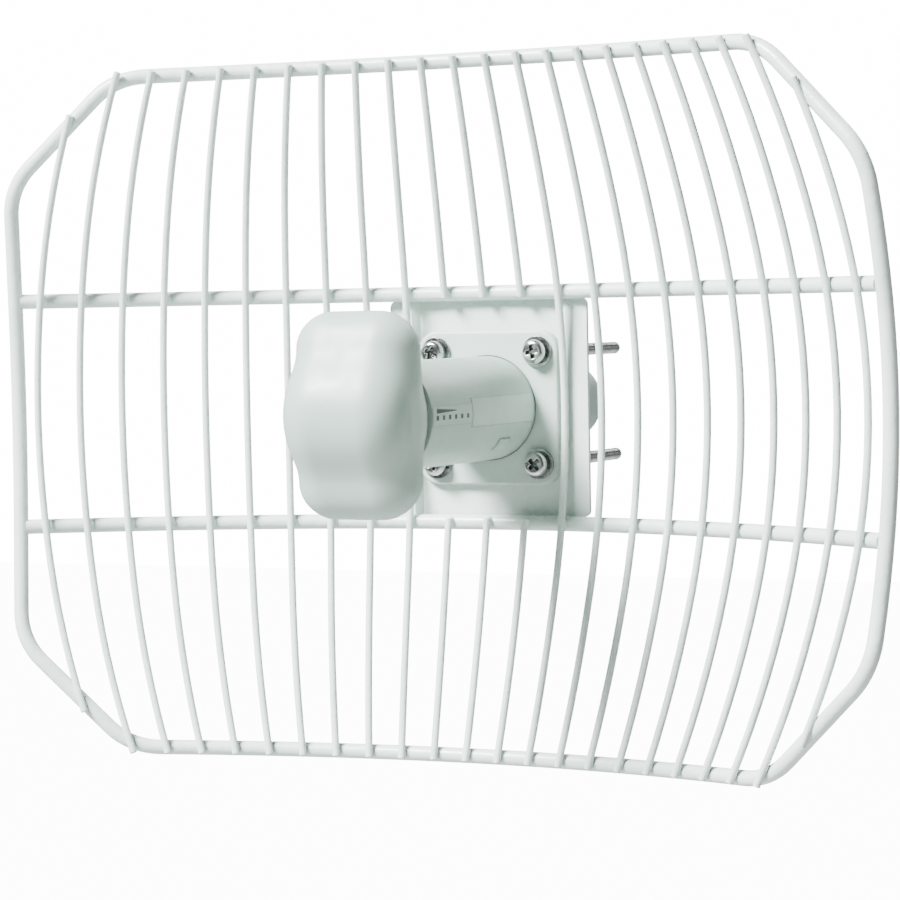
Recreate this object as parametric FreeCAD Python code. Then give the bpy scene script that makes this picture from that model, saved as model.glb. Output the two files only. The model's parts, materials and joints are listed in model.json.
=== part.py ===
# Wire-grid dish antenna with a plug-in radio feed and a tilting pole clamp.
# The reflector's vertex is the working origin: +X to the right, +Z up, and the dish looks along -Y.
# Every piece is moved at the end so that the middle of the gripped pole is the part's origin.
import FreeCAD, Part
import math
import os

V = FreeCAD.Vector

# ---- reflector, millimetres ----
FOCAL_LENGTH = 130.3          # of the parabola that the wires follow
DISH_HALF_WIDTH = 178.5       # to the centre of the side rods, at mid height
DISH_HALF_HEIGHT = 132.1      # to the centre of the top and bottom rods, at mid width
EDGE_FLATTENING = 0.203       # how much the wires straighten towards their ends
CORNER_SUM = 262.0            # |x| + |z| along the cut corners
RING_BOW_TOP = 1.9            # how far the top and bottom rods bow outwards
RING_BOW_SIDE = 4.6           # how far the side rods bow outwards
CORNER_BEND_REACH = 11.0      # length taken from each side by a corner bend
ROD_DIAMETER = 5.8
WIRE_DIAMETER = 2.8
WIRE_PITCH = 16.5             # along the curve, at mid height
WIRE_PINCH = 3.19             # how much the pitch shrinks at the top and bottom rods
WIRES_EACH_SIDE = 11
CUT_WIRES_EACH_SIDE = 1       # wires that stop at the cross rods, either side of the middle one
CROSS_ROD_HEIGHT = 44.4
WELD_SINK = 0.15              # how far a welded wire sinks into a rod
WIRE_OVERHANG = 1.6           # how far a wire's end passes the rod's centre line
CROSS_ROD_SHORTFALL = 1.6     # how far a cross rod stops short of the ring's centre line

# ---- centre plate ----
PLATE_WIDTH = 83.4
PLATE_THICKNESS = 1.6
PLATE_TUCK = 0.3              # how far the plate reaches past the rod's inner face
PLATE_FRONT = 2.6             # y of the web's front face
PLATE_STRIP_WIDTH = 9.2       # the two raised side strips
PLATE_STEP = 2.6              # how far the strips stand in front of the web
PLATE_CORNER_RADIUS = 2.5
WELD_BEAD_RADIUS = 1.5
WELD_BEAD_LENGTH = 14.0

# ---- feed flange, collar and the screws through them ----
FLANGE_SIZE = 59.4
FLANGE_THICKNESS = 3.6
FLANGE_CORNER_RADIUS = 8.0
FLANGE_EDGE_ROUND = 1.0
SCREW_SPACING = 43.0
SCREW_DIAMETER = 5.0
SCREW_HEAD_DIAMETER = 9.4
SCREW_HEAD_HEIGHT = 3.4
SCREW_LENGTH = 80.0
SPLIT_WASHER_DIAMETER = 9.2
SPLIT_WASHER_THICKNESS = 1.3
FLAT_WASHER_DIAMETER = 12.0
FLAT_WASHER_THICKNESS = 1.0
SCREW_CLEARANCE = 0.25        # radial, in every plate that the screws pass
SCREW_FIT = 0.05              # radial, in the nuts and washers
M5_NUT_WIDTH = 8.0
M5_NUT_HEIGHT = 4.0
COLLAR_DEPTH = 22.0
COLLAR_WALL = 3.0
COLLAR_WEB_LENGTH = 8.0       # from a screw post towards the ring
HEAD_ROUND_SHARE = 0.5        # of a screw head's height, rounded at its top
RECESS_DEPTH_SHARE = 0.6      # of a screw head's height, taken by its cross recess
RECESS_ARM_SHARE = 0.28       # of the head's diameter, from its middle to the end of an arm
RECESS_SLOT_SHARE = 0.07      # of the head's diameter, half the width of an arm

# ---- feed ----
TUBE_DIAMETER = 40.0
TUBE_WALL = 2.2
TUBE_SLIDE_CLEARANCE = 0.3    # radial, in the flange, plate and collar
TUBE_FRONT = -94.0            # y where the tube meets the radome
TUBE_REAR = 36.0              # y of the end of the wide part of the tube
NECK_DIAMETER = 29.0          # the rear, narrower part, beside the pole
NECK_REAR = 63.0
RADOME_WIDTH = 49.0
RADOME_HEIGHT = 74.4
RADOME_FRONT = -132.0
RADOME_REAR = -96.0
RADOME_WALL = 2.0
RADOME_ROUND = 14.0           # of its upright edges
RADOME_REAR_ROUND = 7.5       # of its upper and lower rear edges
RADOME_LOBE_DEPTH = 10.8      # how far the middle lobe stands in front of the outer ones
LOBE_EDGE_HEIGHT = 0.46       # edge of the middle lobe, as a share of the half height
LOBE_EDGE_DEPTH = 0.60        # and as a share of the lobe's depth
SHOULDER_HEIGHT = 0.66        # start of the outer rounding, as a share of the half height
INNER_ROUND_SHARE = 0.5       # of the wall, taken off a rounding inside the radome
RADOME_OPENING_ROUND = 4.0    # corners of the opening in the radome's back
RADOME_MIDDLE = 1.4           # height of the radome's centre above the tube's axis
SPIGOT_LENGTH = 5.0           # the radome's neck inside the tube
SPIGOT_WALL = 2.0
SPIGOT_CLEARANCE = 0.05

# ---- tilt bracket and pole clamp ----
SHEET_THICKNESS = 2.5
WING_OUTSIDE = 32.0           # distance of the wing's outer face from the feed's axis
WING_HALF_HEIGHT = 40.0
WING_REAR_MARGIN = 17.0       # sheet behind the pivot
BRACKET_BORE_GAP = 1.0        # radial, round the collar's bore
POLE_DIAMETER = 33.4
POLE_DEPTH = 80.0             # y of the pole's axis
RUNNING_GAP = 0.3             # between the wing and the clamp
LUG_THICKNESS = 4.0
LUG_END_MARGIN = 2.0          # lug beyond the washer, at its end
LUG_SIDE_MARGIN = 3.0         # lug beyond the washer, at its sides
LUG_ROUND_SHARE = 0.8         # of the lug's half width
POLE_HEAD_ROOM = 6.2          # between the clamp's lugs and the pole, for the nuts
TILT_BOLT_DIAMETER = 6.0
TILT_BOLT_HEIGHT = 31.0       # above and below the middle
TILT_LIMIT = 10.0             # degrees each way
SADDLE_HALF_HEIGHT = 20.0
SADDLE_WRAP_ANGLE = 64.0      # degrees of wall each side of the saddle's middle
SADDLE_WALL = 5.0
CLAMP_BOLT_DIAMETER = 6.0
CLAMP_WASHER_GAP = 0.3        # between a washer and the saddle's side
CLAMP_THREAD_SPARE = 15.4     # thread beyond the nut, for the jaw's travel
CLAMP_EAR_THICKNESS = 5.0
CLAMP_EAR_REACH = 8.0         # ear beyond the bolt's axis
CLAMP_EAR_HALF_HEIGHT = 11.0
M6_HEAD_WIDTH = 10.0
M6_HEAD_HEIGHT = 4.0
M6_NUT_HEIGHT = 5.0
M6_WASHER_DIAMETER = 12.0
M6_WASHER_THICKNESS = 1.2
BOLT_FIT = 0.05               # radial, where a bolt is a pivot or a guide
BOLT_CLEARANCE = 0.3          # radial, where it only passes through
THREAD_CHAMFER = 0.6
CUT_MARGIN = 1.0              # how far a cutting shape runs past the face it cuts
SPLIT_WASHER_GAP = 0.6
SPLIT_WASHER_GAP_ANGLE = 20.0
SLIP_GAP = 0.1                # between faces that turn or slide on each other

# ---- release button, in a window low on the feed's side ----
BUTTON_ANGLE = 40.0           # degrees below level
BUTTON_PLACE = -22.5          # y of its middle
BUTTON_LENGTH = 9.4
BUTTON_WIDTH = 5.4
BUTTON_GAP = 0.3
BUTTON_PROUD = 0.5
BUTTON_LIP = 1.2
BUTTON_LIP_DROP = 0.9         # from the tube wall's inside to the lip
LEAF_THICKNESS = 0.4
LEAF_LENGTH = 24.4            # of the release spring, from the button's far end
LEAF_FOOT_GAP = 0.05          # between the spring's foot and the tube wall
LEAF_FOOT_LENGTH = 2.7
LEAF_WIDTH = 3.8

# ---- electronics ----
BOARD_THICKNESS = 1.6
BOARD_PLACE = 6.0             # x of its inner face
BOARD_EDGE_GAP = 1.0          # between the board's outer corners and the tube's inside
BOARD_SHOULDER_GAP = 1.0      # in front of the tube's narrowing
BOARD_FRONT = -88.6
BOARD_REAR = 60.0
JACK_WIDTH = 16.0
JACK_HEIGHT = 13.4
JACK_LENGTH = 21.0
JACK_OVERHANG = 2.0           # beyond the board's rear edge
SHIELD_WALL = 0.4
SHIELD_HEIGHT = 6.0
SHIELD_HALF_WIDTH = 11.0
SHIELD_FRONT = -62.0
SHIELD_REAR = 18.0
DIPOLE_HALF_LENGTH = 26.0
DIPOLE_THICKNESS = 1.0
DIPOLE_FRONT = -106.5
DIPOLE_BACK = -100.5
REFLECTOR_STRIP_PLACE = -111.0
REFLECTOR_STRIP_HALF_WIDTH = 9.0
REFLECTOR_STRIP_HALF_LENGTH = 27.0
LAMP_COUNT = 6
LAMP_FIRST = -87.0            # y of the lamp nearest the radome
LAMP_SPACING = 5.1
LAMP_RADIUS = 1.0
LAMP_CLEARANCE = 0.15
LABEL_THICKNESS = 0.2
LAMP_LABEL_ENDS = (-90.5, -57.6)
LAMP_LABEL_ANGLES = (-10.0, 11.0)
BLANK_LABEL_ENDS = (-57.2, -2.4)
BLANK_LABEL_ANGLES = (-15.0, 16.6)
RESET_SIZE = 4.0
RESET_TRAVEL = 0.4
RESET_PIN_R = 0.9
RESET_PIN_LENGTH = 2.6
RESET_WELL = 1.6              # depth of the hole that the pin sits in
LIGHT_BAR_DEPTH = 3.0
LIGHT_BAR_HALF_WIDTH = 1.8
LIGHT_BAR_LEAD = 1.1          # bar in front of the first lamp
DIPOLE_STEM_WIDTH = 10.0
BALUN_LINK_WIDTH = 2.0
BALUN_LINK_SETBACK = 3.0      # behind the board's front edge
PORT_WALL = 2.0               # of the network socket around its opening
PORT_CONTACT_WALL = 3.0       # of the socket on the side next to the board
PORT_DEPTH_SHARE = 0.6        # of the socket's length
PORT_KEY_WIDTH = 6.2
SWITCH_HEIGHT = 2.6

# ---- rear cover ----
COVER_WALL = 1.4
COVER_FIT = 0.1               # radial, on the neck
COVER_FRONT = 51.0
COVER_REAR = 77.0
COVER_CHAMFER = 2.2
COVER_END_THICKNESS = 3.9
CABLE_DIAMETER = 5.6
GROMMET_WALL = 1.6
GROMMET_LENGTH = 5.0
GROMMET_INSIDE = 3.5          # inside the cover's outer face
GROMMET_PLACE = 68.3
SEAL_THICKNESS = 1.0
SEAL_WIDTH = 1.6
SEAL_INSET = 2.0              # from the cover's front edge

# ---- solving and matching ----
SOLVE_STEPS = 30
TOUCH = 1e-6                  # two places nearer than this are the same

# ---- worked out from the above ----
ROD_R = ROD_DIAMETER / 2
WIRE_R = WIRE_DIAMETER / 2
WELD_OFFSET = ROD_R + WIRE_R - WELD_SINK
PLATE_HALF_HEIGHT = CROSS_ROD_HEIGHT - ROD_R + PLATE_TUCK
PLATE_BACK = PLATE_FRONT + PLATE_THICKNESS
FLANGE_FRONT = PLATE_FRONT - FLANGE_THICKNESS
COLLAR_BACK = PLATE_BACK + COLLAR_DEPTH
BRACKET_BACK = COLLAR_BACK + SHEET_THICKNESS
TUBE_R = TUBE_DIAMETER / 2
TUBE_BORE_R = TUBE_R + TUBE_SLIDE_CLEARANCE
NECK_R = NECK_DIAMETER / 2
POLE_R = POLE_DIAMETER / 2
LUG_FACE = -(WING_OUTSIDE + RUNNING_GAP)
POLE_X = LUG_FACE - LUG_THICKNESS - POLE_HEAD_ROOM - POLE_R
TILT_BOLT_R = TILT_BOLT_DIAMETER / 2
CLAMP_BOLT_R = CLAMP_BOLT_DIAMETER / 2
CLAMP_BOLT_OFFSET = POLE_R + SADDLE_WALL + M6_WASHER_DIAMETER / 2 + CLAMP_WASHER_GAP
CLAMP_GRIP = POLE_DIAMETER + CLAMP_EAR_THICKNESS + M6_WASHER_THICKNESS + M6_NUT_HEIGHT
CLAMP_BOLT_LENGTH = CLAMP_GRIP + CLAMP_THREAD_SPARE
BASE_EAR_FACE = POLE_X + POLE_R + CLAMP_EAR_THICKNESS / 2
JAW_EAR_FACE = POLE_X - POLE_R - CLAMP_EAR_THICKNESS / 2
JAW_BACK = POLE_X - POLE_R - SADDLE_WALL
WING_INSIDE = -WING_OUTSIDE + SHEET_THICKNESS
TILT_HEAD_UNDER = WING_INSIDE + SLIP_GAP + M6_WASHER_THICKNESS
WASHER_FACE = FLANGE_FRONT - FLAT_WASHER_THICKNESS
HEAD_UNDER = WASHER_FACE - SPLIT_WASHER_THICKNESS
BOARD_OUTER_FACE = BOARD_PLACE + BOARD_THICKNESS
BOARD_HALF_WIDTH = math.sqrt((TUBE_R - TUBE_WALL - BOARD_EDGE_GAP) ** 2 - BOARD_OUTER_FACE ** 2)
BOARD_TAIL_HALF_WIDTH = math.sqrt((NECK_R - TUBE_WALL - BOARD_EDGE_GAP) ** 2 - BOARD_OUTER_FACE ** 2)
JACK_REAR = BOARD_REAR + JACK_OVERHANG
SEAL_PLACE = COVER_FRONT + SEAL_INSET
GROMMET_R = CABLE_DIAMETER / 2 + GROMMET_WALL
SCREW_R = SCREW_DIAMETER / 2
RESET_REAR = BOARD_REAR - RESET_SIZE / 2
SCREW_PLACES = [(sx * SCREW_SPACING / 2, sz * SCREW_SPACING / 2) for sx in (-1, 1) for sz in (-1, 1)]

TO_ORIGIN = V(-POLE_X, -POLE_DEPTH, 0)


def save(name, shape):
    placed = shape.copy()
    placed.translate(TO_ORIGIN)
    placed.exportStep("parts/" + name + ".step")
    print(name, "solids", len(placed.Solids), "valid", placed.isValid(), "volume %.0f" % placed.Volume)


def rod(radius, length, start, along):
    return Part.makeCylinder(radius, length, start, along)


def pipe(outer, inner, length, start, along):
    direction = V(along)
    direction.normalize()
    core = rod(inner, length + 2 * CUT_MARGIN, start - direction * CUT_MARGIN, direction)
    return rod(outer, length, start, direction).cut(core)


def block(x0, x1, y0, y1, z0, z1):
    return Part.makeBox(x1 - x0, y1 - y0, z1 - z0, V(x0, y0, z0))


def bored(shape, radius, y0, y1, x=0.0, z=0.0):
    # a round hole along the feed's direction, right through from y0 to y1
    start = V(x, y0 - CUT_MARGIN, z)
    return shape.cut(rod(radius, y1 - y0 + 2 * CUT_MARGIN, start, V(0, 1, 0)))


def screw_holes(shape, y0, y1):
    for x, z in SCREW_PLACES:
        shape = bored(shape, SCREW_R + SCREW_CLEARANCE, y0, y1, x, z)
    return shape


def upright_block(width, height, y0, y1, corner, middle=0.0):
    # a plate across the feed's axis with its four corners rounded
    body = block(-width / 2, width / 2, y0, y1, middle - height / 2, middle + height / 2)
    corners = [e for e in body.Edges if abs(e.Vertexes[0].Y - e.Vertexes[1].Y) > (y1 - y0) / 2]
    return body.makeFillet(corner, corners)


def hexagon(width, height, start, along):
    direction = V(along)
    direction.normalize()
    side = direction.cross(V(0, 0, 1))
    across = direction.cross(side)
    reach = width / math.sqrt(3)
    turns = [math.radians(60 * k) for k in range(7)]
    points = [start + side * (reach * math.cos(t)) + across * (reach * math.sin(t)) for t in turns]
    return Part.Face(Part.makePolygon(points)).extrude(direction * height)


def group(shapes):
    return Part.makeCompound(shapes)


def arc_leaving(start, tangent, end):
    # the circular arc that leaves start along tangent and reaches end
    chord = end - start
    along = V(chord)
    along.normalize()
    lift = tangent - along * tangent.dot(along)
    if lift.Length < TOUCH:
        return Part.LineSegment(start, end).toShape()
    turn = math.asin(min(1.0, lift.Length))
    lift.normalize()
    middle = (start + end) * 0.5 + lift * (chord.Length / 2 * math.tan(turn / 2))
    return Part.Arc(start, middle, end).toShape()


def bend(start, start_tangent, end, end_tangent):
    # two arcs, tangent to each other and to what lies before and after them
    chord = end - start
    both = start_tangent + end_tangent
    spread = 2 * (1 - start_tangent.dot(end_tangent))
    reach = (-chord.dot(both) + math.sqrt(chord.dot(both) ** 2 + spread * chord.dot(chord))) / spread
    joint = (start + start_tangent * reach + end - end_tangent * reach) * 0.5
    first = arc_leaving(start, start_tangent, joint)
    second = arc_leaving(joint, first.tangentAt(first.LastParameter), end)
    return [first, second]


def sweep(edges, radius):
    spine = Part.Wire(edges)
    first = spine.OrderedEdges[0]
    at = first.valueAt(first.FirstParameter)
    circle = Part.Wire(Part.makeCircle(radius, at, first.tangentAt(first.FirstParameter)))
    return spine.makePipeShell([circle], True, False)


# ---- the dish's curve ----
def wire_surface(x, z):
    ease = 1 - EDGE_FLATTENING * (z / DISH_HALF_HEIGHT) ** 2
    return -(x * x + z * z * ease) / (4 * FOCAL_LENGTH)


def rod_point(x, z):
    # a rod's centre lies behind the wires, measured square to the dish's surface
    slope_x = -x / (2 * FOCAL_LENGTH)
    slope_z = -(2 * z - 4 * EDGE_FLATTENING * z ** 3 / DISH_HALF_HEIGHT ** 2) / (4 * FOCAL_LENGTH)
    return V(x, wire_surface(x, z) + WELD_OFFSET * math.sqrt(1 + slope_x ** 2 + slope_z ** 2), z)


def across_for_arc(arc):
    # x on the parabola at a given length along it from the middle
    x = arc
    for _ in range(SOLVE_STEPS):
        w = x / (2 * FOCAL_LENGTH)
        length = x / 2 * math.sqrt(1 + w * w) + FOCAL_LENGTH * math.asinh(w)
        x -= (length - arc) / math.sqrt(1 + w * w)
    return x


def wire_point(number, z):
    pitch = WIRE_PITCH - WIRE_PINCH * (z / DISH_HALF_HEIGHT) ** 2
    x = across_for_arc(number * pitch)
    return V(x, wire_surface(x, z), z)


def ring_top(x):
    return DISH_HALF_HEIGHT - RING_BOW_TOP * (x / DISH_HALF_HEIGHT) ** 2


def ring_side(z):
    return DISH_HALF_WIDTH - RING_BOW_SIDE * (z / (CORNER_SUM - DISH_HALF_WIDTH)) ** 2


def curved_path(point_at, end, share=0.5):
    # a middle arc through the centre, and one tangent arc to each end
    left, centre, right = point_at(-end * share), point_at(0.0), point_at(end * share)
    middle = Part.Arc(left, centre, right).toShape()
    out_right = middle.tangentAt(middle.LastParameter)
    out_left = middle.tangentAt(middle.FirstParameter) * -1
    right_arc = arc_leaving(right, out_right, point_at(end))
    left_arc = arc_leaving(left, out_left, point_at(-end))
    return left_arc, middle, right_arc


def corner_crossing(rail, start):
    # where a rail of the ring meets the cut corner's line
    reach = start
    for _ in range(SOLVE_STEPS):
        reach = CORNER_SUM - rail(reach)
    return reach


def frame_ring():
    top_reach = corner_crossing(ring_top, CORNER_SUM - DISH_HALF_HEIGHT)
    side_reach = corner_crossing(ring_side, CORNER_SUM - DISH_HALF_WIDTH)
    top_end = top_reach - CORNER_BEND_REACH
    side_end = side_reach - CORNER_BEND_REACH
    rails = []
    for turn in range(4):
        if turn % 2 == 0:
            sign = 1 if turn == 0 else -1
            path = curved_path(lambda s, k=sign: rod_point(k * s, k * ring_top(s)), top_end)
        else:
            sign = 1 if turn == 1 else -1
            path = curved_path(lambda s, k=sign: rod_point(k * ring_side(s), -k * s), side_end)
        rails.append(path)
    edges = []
    for turn in range(4):
        left_arc, middle, right_arc = rails[turn]
        following = rails[(turn + 1) % 4][0]
        rail_out = right_arc.tangentAt(right_arc.LastParameter)
        rail_in = following.tangentAt(following.LastParameter) * -1
        rail_end = right_arc.valueAt(right_arc.LastParameter)
        next_start = following.valueAt(following.LastParameter)
        cut_start, cut_end = corner_ends(turn, top_reach, side_reach)
        cut_along = cut_end - cut_start
        cut_along.normalize()
        cut_start = cut_start + cut_along * CORNER_BEND_REACH
        cut_end = cut_end - cut_along * CORNER_BEND_REACH
        edges += [left_arc, middle, right_arc]
        edges += bend(rail_end, rail_out, cut_start, cut_along)
        edges.append(Part.LineSegment(cut_start, cut_end).toShape())
        edges += bend(cut_end, cut_along, next_start, rail_in)
    return sweep(edges, ROD_R)


def corner_ends(turn, top_reach, side_reach):
    # the two ends of a cut corner, in the order that the ring runs round
    on_top = [(1, 1), (1, -1), (-1, -1), (-1, 1)][turn]
    top_corner = rod_point(on_top[0] * top_reach, on_top[1] * ring_top(top_reach))
    side_corner = rod_point(on_top[0] * ring_side(side_reach), on_top[1] * side_reach)
    return (top_corner, side_corner) if turn % 2 == 0 else (side_corner, top_corner)


def cross_rod(height):
    reach = ring_side(height) - CROSS_ROD_SHORTFALL
    return sweep(curved_path(lambda x: rod_point(x, height), reach), ROD_R)


def wire_end(number):
    # height of a wire's end, on the top rod or on the cut corner
    height = DISH_HALF_HEIGHT
    for _ in range(SOLVE_STEPS):
        x = abs(wire_point(number, height).x)
        height = 0.5 * (height + min(ring_top(x), CORNER_SUM - x))
    return height + WIRE_OVERHANG


def whole_wire(number):
    return sweep(curved_path(lambda z: wire_point(number, z), wire_end(number)), WIRE_R)


def cut_wire(number, side):
    low, high = CROSS_ROD_HEIGHT - WIRE_OVERHANG, wire_end(number)
    points = [wire_point(number, side * z) for z in (low, (low + high) / 2, high)]
    return sweep([Part.Arc(*points).toShape()], WIRE_R)


def centre_plate():
    half, back = PLATE_WIDTH / 2, PLATE_BACK
    inner = half - PLATE_STRIP_WIDTH
    strip_front, strip_back = PLATE_FRONT - PLATE_STEP, PLATE_BACK - PLATE_STEP
    slant = PLATE_STEP
    outline = [
        (-half, strip_front), (-inner, strip_front), (-inner + slant, PLATE_FRONT),
        (inner - slant, PLATE_FRONT), (inner, strip_front), (half, strip_front),
        (half, strip_back), (inner + PLATE_THICKNESS / 2, strip_back),
        (inner + PLATE_THICKNESS / 2 - slant, back), (-inner - PLATE_THICKNESS / 2 + slant, back),
        (-inner - PLATE_THICKNESS / 2, strip_back), (-half, strip_back), (-half, strip_front)]
    points = [V(x, y, -PLATE_HALF_HEIGHT) for x, y in outline]
    plate = Part.Face(Part.makePolygon(points)).extrude(V(0, 0, 2 * PLATE_HALF_HEIGHT))
    frame = upright_block(PLATE_WIDTH, 2 * PLATE_HALF_HEIGHT, strip_front, back, PLATE_CORNER_RADIUS)
    plate = bored(plate.common(frame), TUBE_BORE_R, strip_front, back)
    return screw_holes(plate, strip_front, back)


def plate_welds():
    # short beads behind the plate's upper and lower edges
    beads = []
    for side in (-1, 1):
        for x in (-PLATE_WIDTH / 4, 0, PLATE_WIDTH / 4):
            start = V(x - WELD_BEAD_LENGTH / 2, PLATE_BACK, side * (PLATE_HALF_HEIGHT - PLATE_TUCK))
            beads.append(rod(WELD_BEAD_RADIUS, WELD_BEAD_LENGTH, start, V(1, 0, 0)))
    return group(beads)


# ---- flange, collar, screws ----
def mounting_flange():
    body = upright_block(FLANGE_SIZE, FLANGE_SIZE, FLANGE_FRONT, PLATE_FRONT, FLANGE_CORNER_RADIUS)
    rim = [e for e in body.Edges if all(abs(v.Y - FLANGE_FRONT) < TOUCH for v in e.Vertexes)]
    body = body.makeFillet(FLANGE_EDGE_ROUND, rim)
    body = bored(body, TUBE_BORE_R, FLANGE_FRONT, PLATE_FRONT)
    return screw_holes(body, FLANGE_FRONT, PLATE_FRONT)


def rear_collar():
    # a ring round the feed tube with four screw posts, between the plate and the bracket
    body = pipe(TUBE_BORE_R + COLLAR_WALL, TUBE_BORE_R, COLLAR_DEPTH, V(0, PLATE_BACK, 0), V(0, 1, 0))
    for x, z in SCREW_PLACES:
        post = rod(SCREW_R + SCREW_CLEARANCE + COLLAR_WALL, COLLAR_DEPTH, V(x, PLATE_BACK, z), V(0, 1, 0))
        body = body.fuse(post)
    for x, z in SCREW_PLACES:
        inward = V(-x, 0, -z)
        inward.normalize()
        web = block(-COLLAR_WALL, COLLAR_WALL, PLATE_BACK, COLLAR_BACK, 0, COLLAR_WEB_LENGTH)
        web.rotate(V(0, 0, 0), V(0, 1, 0), math.degrees(math.atan2(inward.x, inward.z)))
        web.translate(V(x, 0, z))
        body = body.fuse(web)
    body = bored(body, TUBE_BORE_R, PLATE_BACK, COLLAR_BACK)
    return screw_holes(body, PLATE_BACK, COLLAR_BACK).removeSplitter()


# ---- tilt bracket ----
def tilt_bracket():
    half = FLANGE_SIZE / 2
    foot = block(-WING_OUTSIDE, half, COLLAR_BACK, BRACKET_BACK, -half, half)
    foot = bored(foot, TUBE_BORE_R + BRACKET_BORE_GAP, COLLAR_BACK, BRACKET_BACK)
    foot = screw_holes(foot, COLLAR_BACK, BRACKET_BACK)
    rear = POLE_DEPTH + WING_REAR_MARGIN
    widening = (BRACKET_BACK + POLE_DEPTH) / 2
    outline = [(COLLAR_BACK, -half), (BRACKET_BACK, -half), (widening, -WING_HALF_HEIGHT),
               (rear, -WING_HALF_HEIGHT), (rear, WING_HALF_HEIGHT), (widening, WING_HALF_HEIGHT),
               (BRACKET_BACK, half), (COLLAR_BACK, half), (COLLAR_BACK, -half)]
    points = [V(-WING_OUTSIDE, y, z) for y, z in outline]
    wing = Part.Face(Part.makePolygon(points)).extrude(V(SHEET_THICKNESS, 0, 0))
    rear_corners = [e for e in wing.Edges
                    if all(abs(v.Y - rear) < TOUCH for v in e.Vertexes)
                    and abs(e.Vertexes[0].X - e.Vertexes[1].X) > SHEET_THICKNESS / 2]
    wing = wing.makeFillet(WING_REAR_MARGIN / 2, rear_corners)
    through = V(-WING_OUTSIDE - CUT_MARGIN, POLE_DEPTH, TILT_BOLT_HEIGHT)
    depth = SHEET_THICKNESS + 2 * CUT_MARGIN
    wing = wing.cut(rod(TILT_BOLT_R + BOLT_FIT, depth, through, V(1, 0, 0)))
    wing = wing.cut(arc_slot(through, depth))
    body = foot.fuse(wing).removeSplitter()
    outer_edge = [e for e in body.Edges if all(
        abs(v.X + WING_OUTSIDE) < TOUCH and abs(v.Y - COLLAR_BACK) < TOUCH for v in e.Vertexes)]
    return body.makeFillet(SHEET_THICKNESS, outer_edge)


def arc_slot(pivot, depth):
    # the lock bolt's path, as the bracket turns about the pivot bolt
    reach = 2 * TILT_BOLT_HEIGHT
    half_width = TILT_BOLT_R + BOLT_CLEARANCE
    slot = pipe(reach + half_width, reach - half_width, depth, pivot, V(1, 0, 0))
    swing = math.radians(TILT_LIMIT)
    far = 2 * reach
    wedge_points = [pivot + V(0, far * math.sin(a), -far * math.cos(a)) for a in (-swing, swing)]
    wedge_outline = [pivot] + wedge_points + [pivot]
    slot = slot.common(Part.Face(Part.makePolygon(wedge_outline)).extrude(V(depth, 0, 0)))
    for a in (-swing, swing):
        end = pivot + V(0, reach * math.sin(a), -reach * math.cos(a))
        slot = slot.fuse(rod(half_width, depth, end, V(1, 0, 0)))
    return slot


# ---- pole clamp ----
def saddle(face_x, far_x, direction):
    # a block with a round seat for the pole, and an ear for a clamp bolt on each side
    seat_edge = POLE_X + direction * POLE_R * math.cos(math.radians(SADDLE_WRAP_ANGLE))
    half_width = POLE_R + SADDLE_WALL
    low, high = sorted((face_x, seat_edge))
    body = block(low, high, POLE_DEPTH - half_width, POLE_DEPTH + half_width,
                 -SADDLE_HALF_HEIGHT, SADDLE_HALF_HEIGHT)
    ear_low, ear_high = sorted((far_x, far_x - direction * CLAMP_EAR_THICKNESS))
    ear_reach = CLAMP_BOLT_OFFSET + CLAMP_EAR_REACH
    ears = block(ear_low, ear_high, POLE_DEPTH - ear_reach, POLE_DEPTH + ear_reach,
                 -CLAMP_EAR_HALF_HEIGHT, CLAMP_EAR_HALF_HEIGHT)
    body = body.fuse(ears)
    pole = rod(POLE_R, 4 * SADDLE_HALF_HEIGHT, V(POLE_X, POLE_DEPTH, -2 * SADDLE_HALF_HEIGHT), V(0, 0, 1))
    body = body.cut(pole)
    hole_radius = CLAMP_BOLT_R + (BOLT_FIT if direction > 0 else BOLT_CLEARANCE)
    for side in (-1, 1):
        start = V(ear_low - CUT_MARGIN, POLE_DEPTH + side * CLAMP_BOLT_OFFSET, 0)
        body = body.cut(rod(hole_radius, CLAMP_EAR_THICKNESS + 2 * CUT_MARGIN, start, V(1, 0, 0)))
    return body.removeSplitter()


def clamp_base():
    body = saddle(LUG_FACE, BASE_EAR_FACE, 1)
    lug_reach = TILT_BOLT_HEIGHT + M6_WASHER_DIAMETER / 2 + LUG_END_MARGIN
    half_lug = M6_WASHER_DIAMETER / 2 + LUG_SIDE_MARGIN
    lugs = block(LUG_FACE - LUG_THICKNESS, LUG_FACE, POLE_DEPTH - half_lug, POLE_DEPTH + half_lug,
                 -lug_reach, lug_reach)
    tips = [e for e in lugs.Edges if abs(abs(e.Vertexes[0].Z) - lug_reach) < TOUCH
            and abs(e.Vertexes[0].X - e.Vertexes[1].X) > LUG_THICKNESS / 2]
    body = body.fuse(lugs.makeFillet(half_lug * LUG_ROUND_SHARE, tips)).removeSplitter()
    for side in (-1, 1):
        start = V(LUG_FACE - LUG_THICKNESS - CUT_MARGIN, POLE_DEPTH, side * TILT_BOLT_HEIGHT)
        body = body.cut(rod(TILT_BOLT_R + BOLT_FIT, LUG_THICKNESS + 2 * CUT_MARGIN, start, V(1, 0, 0)))
    return body


def clamp_jaw():
    return saddle(JAW_BACK, JAW_EAR_FACE, -1)


def clamp_bolts():
    shapes = []
    for side in (-1, 1):
        under = V(BASE_EAR_FACE, POLE_DEPTH + side * CLAMP_BOLT_OFFSET, 0)
        head = hexagon(M6_HEAD_WIDTH, M6_HEAD_HEIGHT, under, V(1, 0, 0))
        shank = rod(CLAMP_BOLT_R, CLAMP_BOLT_LENGTH, under, V(-1, 0, 0))
        shapes.append(head.fuse(chamfered_end(shank, under.x - CLAMP_BOLT_LENGTH, "X")))
    return group(shapes)


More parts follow.
